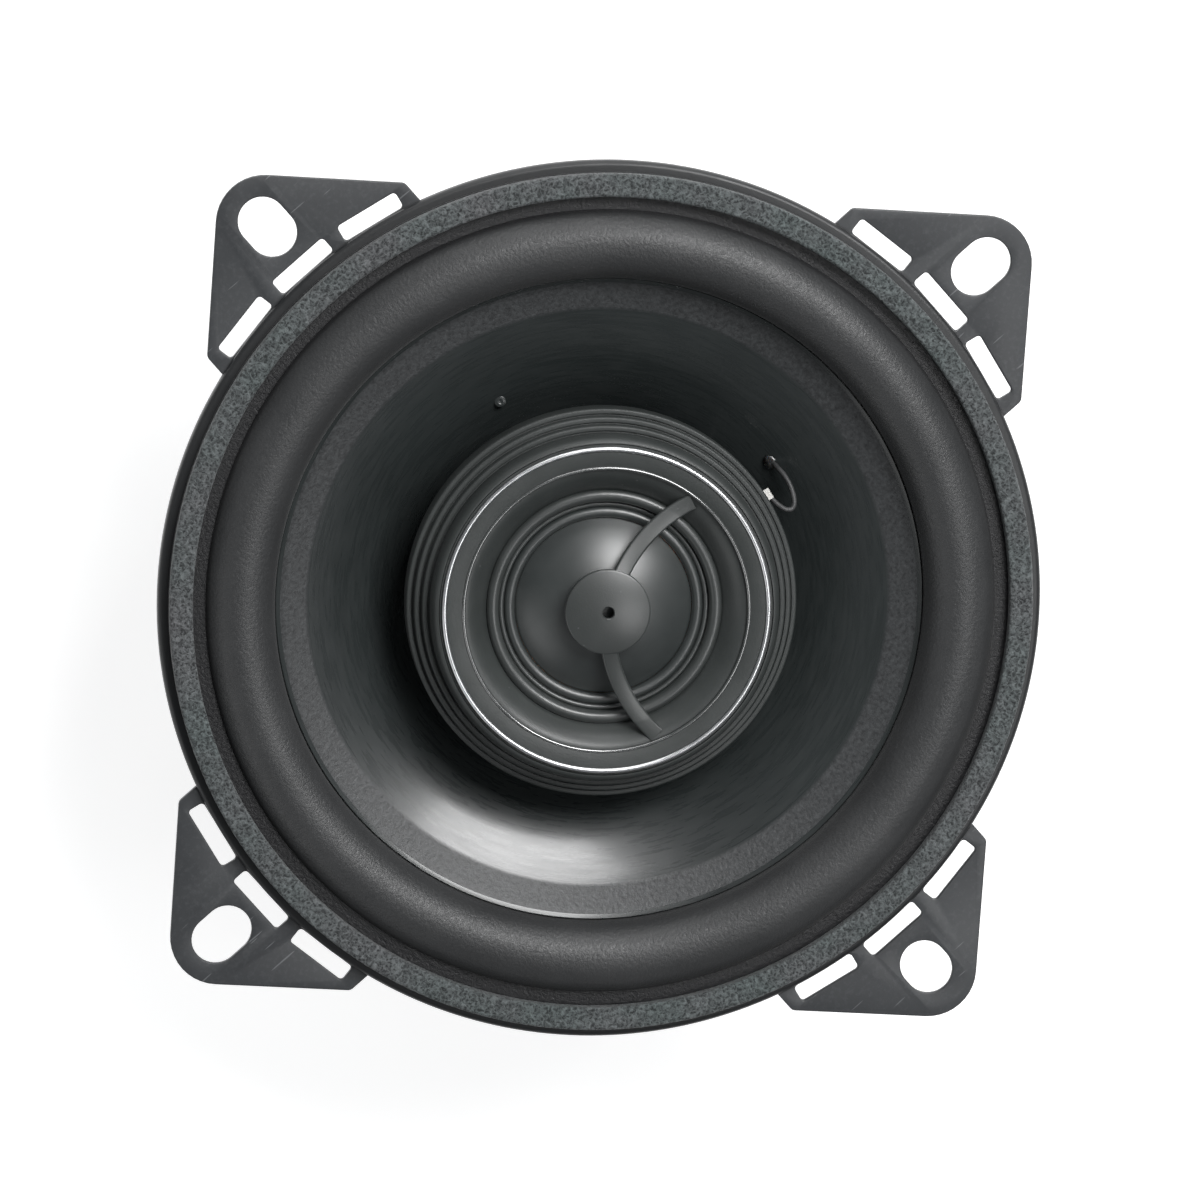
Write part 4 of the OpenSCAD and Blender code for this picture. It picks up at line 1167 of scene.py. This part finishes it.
def build_capacitor():
    """A small wound capacitor: sleeve, crimped can end and rubber bung."""
    lie = (spin(SPOKE_ANGLE) @ Matrix.Translation((CAPACITOR_AT[0], CAPACITOR_L / 2, CAPACITOR_AT[1]))
           @ spin(90, "X"))
    r, long = CAPACITOR_R, CAPACITOR_L
    sleeve = rounded([(r - 0.9, 0.02), (r, 0.02), (r, 1.5), (r - 0.35, 2.0), (r, 2.5), (r, long - 0.02),
                      (r - 0.8, long - 0.02), (r - 0.8, long - 0.2), (r - 0.2, long - 0.2), (r - 0.2, 0.2),
                      (r - 0.9, 0.2)], [0.05, 0.35, 0.3, 0.4, 0.3, 0.4, 0.05, 0.05, 0.1, 0.1, 0.05], 5)
    fixed("capacitor_jacket", SLEEVE, "capacitor_sleeve", "crossover_capacitor",
          moved(lathe(sleeve, 96), lie))
    can = [(0, 1.0), (r - 0.21, 1.0), (r - 0.21, long - 0.25), (r - 0.85, long - 0.12), (0, long - 0.12)]
    fixed("capacitor_can", CAN, "tinned", None, moved(lathe(can, 96), lie))
    bung = rounded([(0, 0.3), (r - 0.5, 0.3), (r - 0.5, 1.1), (0, 1.1)], [0, 0.2, 0, 0])
    fixed("capacitor_bung", INSULATION, "lead_insulation", None, moved(lathe(bung, 64), lie))
    end = long / 2
    inner = [(0, -end + 0.3, 0), (0, -end - 1.5, 0), (0, -end - 2.9, 0), (0, -end - 4.1, 0)]
    outer = [(0, end - 0.35, 0), (0.3, end + 2.5, 0), (1.4, end + 4.5, 0.6), (3.4, end + 4.9, 3),
             (4.8, end + 4.5, 5.2)]
    wires = []
    for run in (inner, outer):
        path = smooth_path([on_spoke(CAPACITOR_AT[0] + x, y, CAPACITOR_AT[1] + z) for x, y, z in run], 8)
        wires.append(tube(path, WIRE_R, WIRE_SIDES))
    fixed("capacitor_wires", TINNED, "tinned", "capacitor_leads", *wires)
    # Hot-melt glue squeezed out under the capacitor.
    glue = joined([blob((0, y, 0), (1.0, 1.9, 2.3), 0.35, 3.0 + y) for y in (-1.9, 0.1, 2.0)])
    slope = math.atan2(6.4, 5.9)
    seat = (spin(SPOKE_ANGLE)
            @ Matrix.Translation((CAPACITOR_AT[0], 0, CAPACITOR_AT[1]))
            @ Matrix.Rotation(math.pi / 2 - slope, 4, "Y")
            @ Matrix.Translation((-CAPACITOR_R + 0.55, 0, 0)))
    fixed("glue_bead", HOT_GLUE, "glue", "capacitor_glue", moved(glue, seat), sharp=80)


def build_joints_of_leads():
    """Solder where leads meet metal, and dots of cement where they pass the cone."""
    spots = [(polar(44.75, 57.8, -8.9), (0.75, 0.75, 0.7)), (polar(44.75, 32.2, -9.2), (0.75, 0.8, 1.0)),
             (polar(22.6, -10.0, -1.95), (0.5, 0.62, 0.36)), (polar(21.35, 4.0, -1.95), (0.7, 0.7, 0.4)),
             (on_spoke(CAPACITOR_AT[0] + 4.9, CAPACITOR_L / 2 + 4.4, CAPACITOR_AT[1] + 5.3), (0.7, 0.7, 0.7))]
    solids = [blob(centre, radii, 0.25, k) for k, (centre, radii) in enumerate(spots)]
    fixed("solder_joints", SOLDER, "tinned", None, *solids, sharp=80)
    dots = [blob(polar(25.1, -5, cone_z(25.1) - 0.1), (0.9, 0.9, 0.45), 0.3, 7.0),
            blob(polar(20.8, 9.0, cone_z(20.8) - 0.1), (0.8, 0.8, 0.45), 0.3, 8.0)]
    stands_for(piece("lead_cement", BLACK_GLUE, *dots, sharp=80), "glue", "cone")


# ---- carried-over nodes

KEPT = {
    "post_screw": (ZINC, 0.12), "tweeter_yoke": (ZINC, 0.2), "tweeter_magnet": (NICKEL, 0.2),
    "tweeter_pole_disc": (ZINC, 0.15), "damping_pad": (FELT, 0.3), "dome_clamp_ring": (PLASTIC, 0.1),
    "tweeter_coil_former": (FILM, 0.0), "tweeter_voice_coil": (COPPER, 0.0),
    "tweeter_terminals": (TINNED, 0.06), "terminal_board": (BOARD, 0.12), "board_rivet": (ZINC, 0.1),
    "positive_blade": (TINNED, 0.12), "negative_blade": (TINNED, 0.12), "blade_rivets": (ZINC, 0.1)}


def finish_kept_nodes():
    for name, (material, edge) in KEPT.items():
        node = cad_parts[name]
        node.data.materials.clear()
        node.data.materials.append(material)
        if edge:
            bevel = node.modifiers.new("edges", "BEVEL")
            bevel.width, bevel.segments, bevel.limit_method = edge * MM, 2, "ANGLE"
            bevel.angle_limit = math.radians(40)
            bevel.harden_normals = True


# ---- floor and lights

FLOOR_GAP = 0.05     # keeps the floor clear of the back plate


def build_floor():
    mesh = bpy.data.meshes.new("floor")
    half, z = 4.0, (BACK_UNDER - FLOOR_GAP) * MM
    mesh.from_pydata([(x, y, z) for x, y in box_outline(-half, half, -half, half)], [], [(0, 1, 2, 3)])
    s = Surface("pale_floor", roughness=0.9, emission_color=(1, 1, 1), emission_strength=0.76)
    s.set(base_color=s.tint(s.noise(60, 2), (0.60, 0.60, 0.60), (0.61, 0.61, 0.61)))
    mesh.materials.append(s.material)
    floor = in_scene("floor", mesh)


def softbox(name, place, size, power):
    """A rectangular lamp at a place in the picture's own axes, turned to the part."""
    data = bpy.data.lights.new(name, "AREA")
    data.shape, data.size, data.size_y = "RECTANGLE", size[0] * MM, size[1] * MM
    data.energy = power
    lamp = in_scene(name, data)
    lamp.location = in_picture(*place)
    lamp.rotation_euler = lamp.location.to_track_quat("Z", "Y").to_euler()


def build_lights():
    softbox("key", (400, 345, 790), (500, 360), 9.0)
    softbox("top", (40, 1000, 480), (900, 300), 4.0)
    softbox("right_card", (205, -150, 350), (150, 150), 0.3)
    softbox("left_fill", (-520, -400, 300), (520, 380), 0.75)
    world = bpy.data.worlds.new("studio")
    world.use_nodes = True
    sky = world.node_tree.nodes["Background"].inputs
    sky["Color"].default_value, sky["Strength"].default_value = (0.93, 0.96, 1.0, 1), 0.15
    bpy.context.scene.world = world
    bpy.context.scene.view_settings.view_transform = "Standard"


build_basket()
build_gasket()
build_motor()
build_surround()
build_cone()
build_eyelets()
build_voice_coil()
build_spider()
build_housing()
build_faceplate()
build_dome()
build_diffuser()
build_tweeter_body()
build_leads()
build_capacitor()
build_joints_of_leads()
finish_kept_nodes()
build_floor()
build_lights()
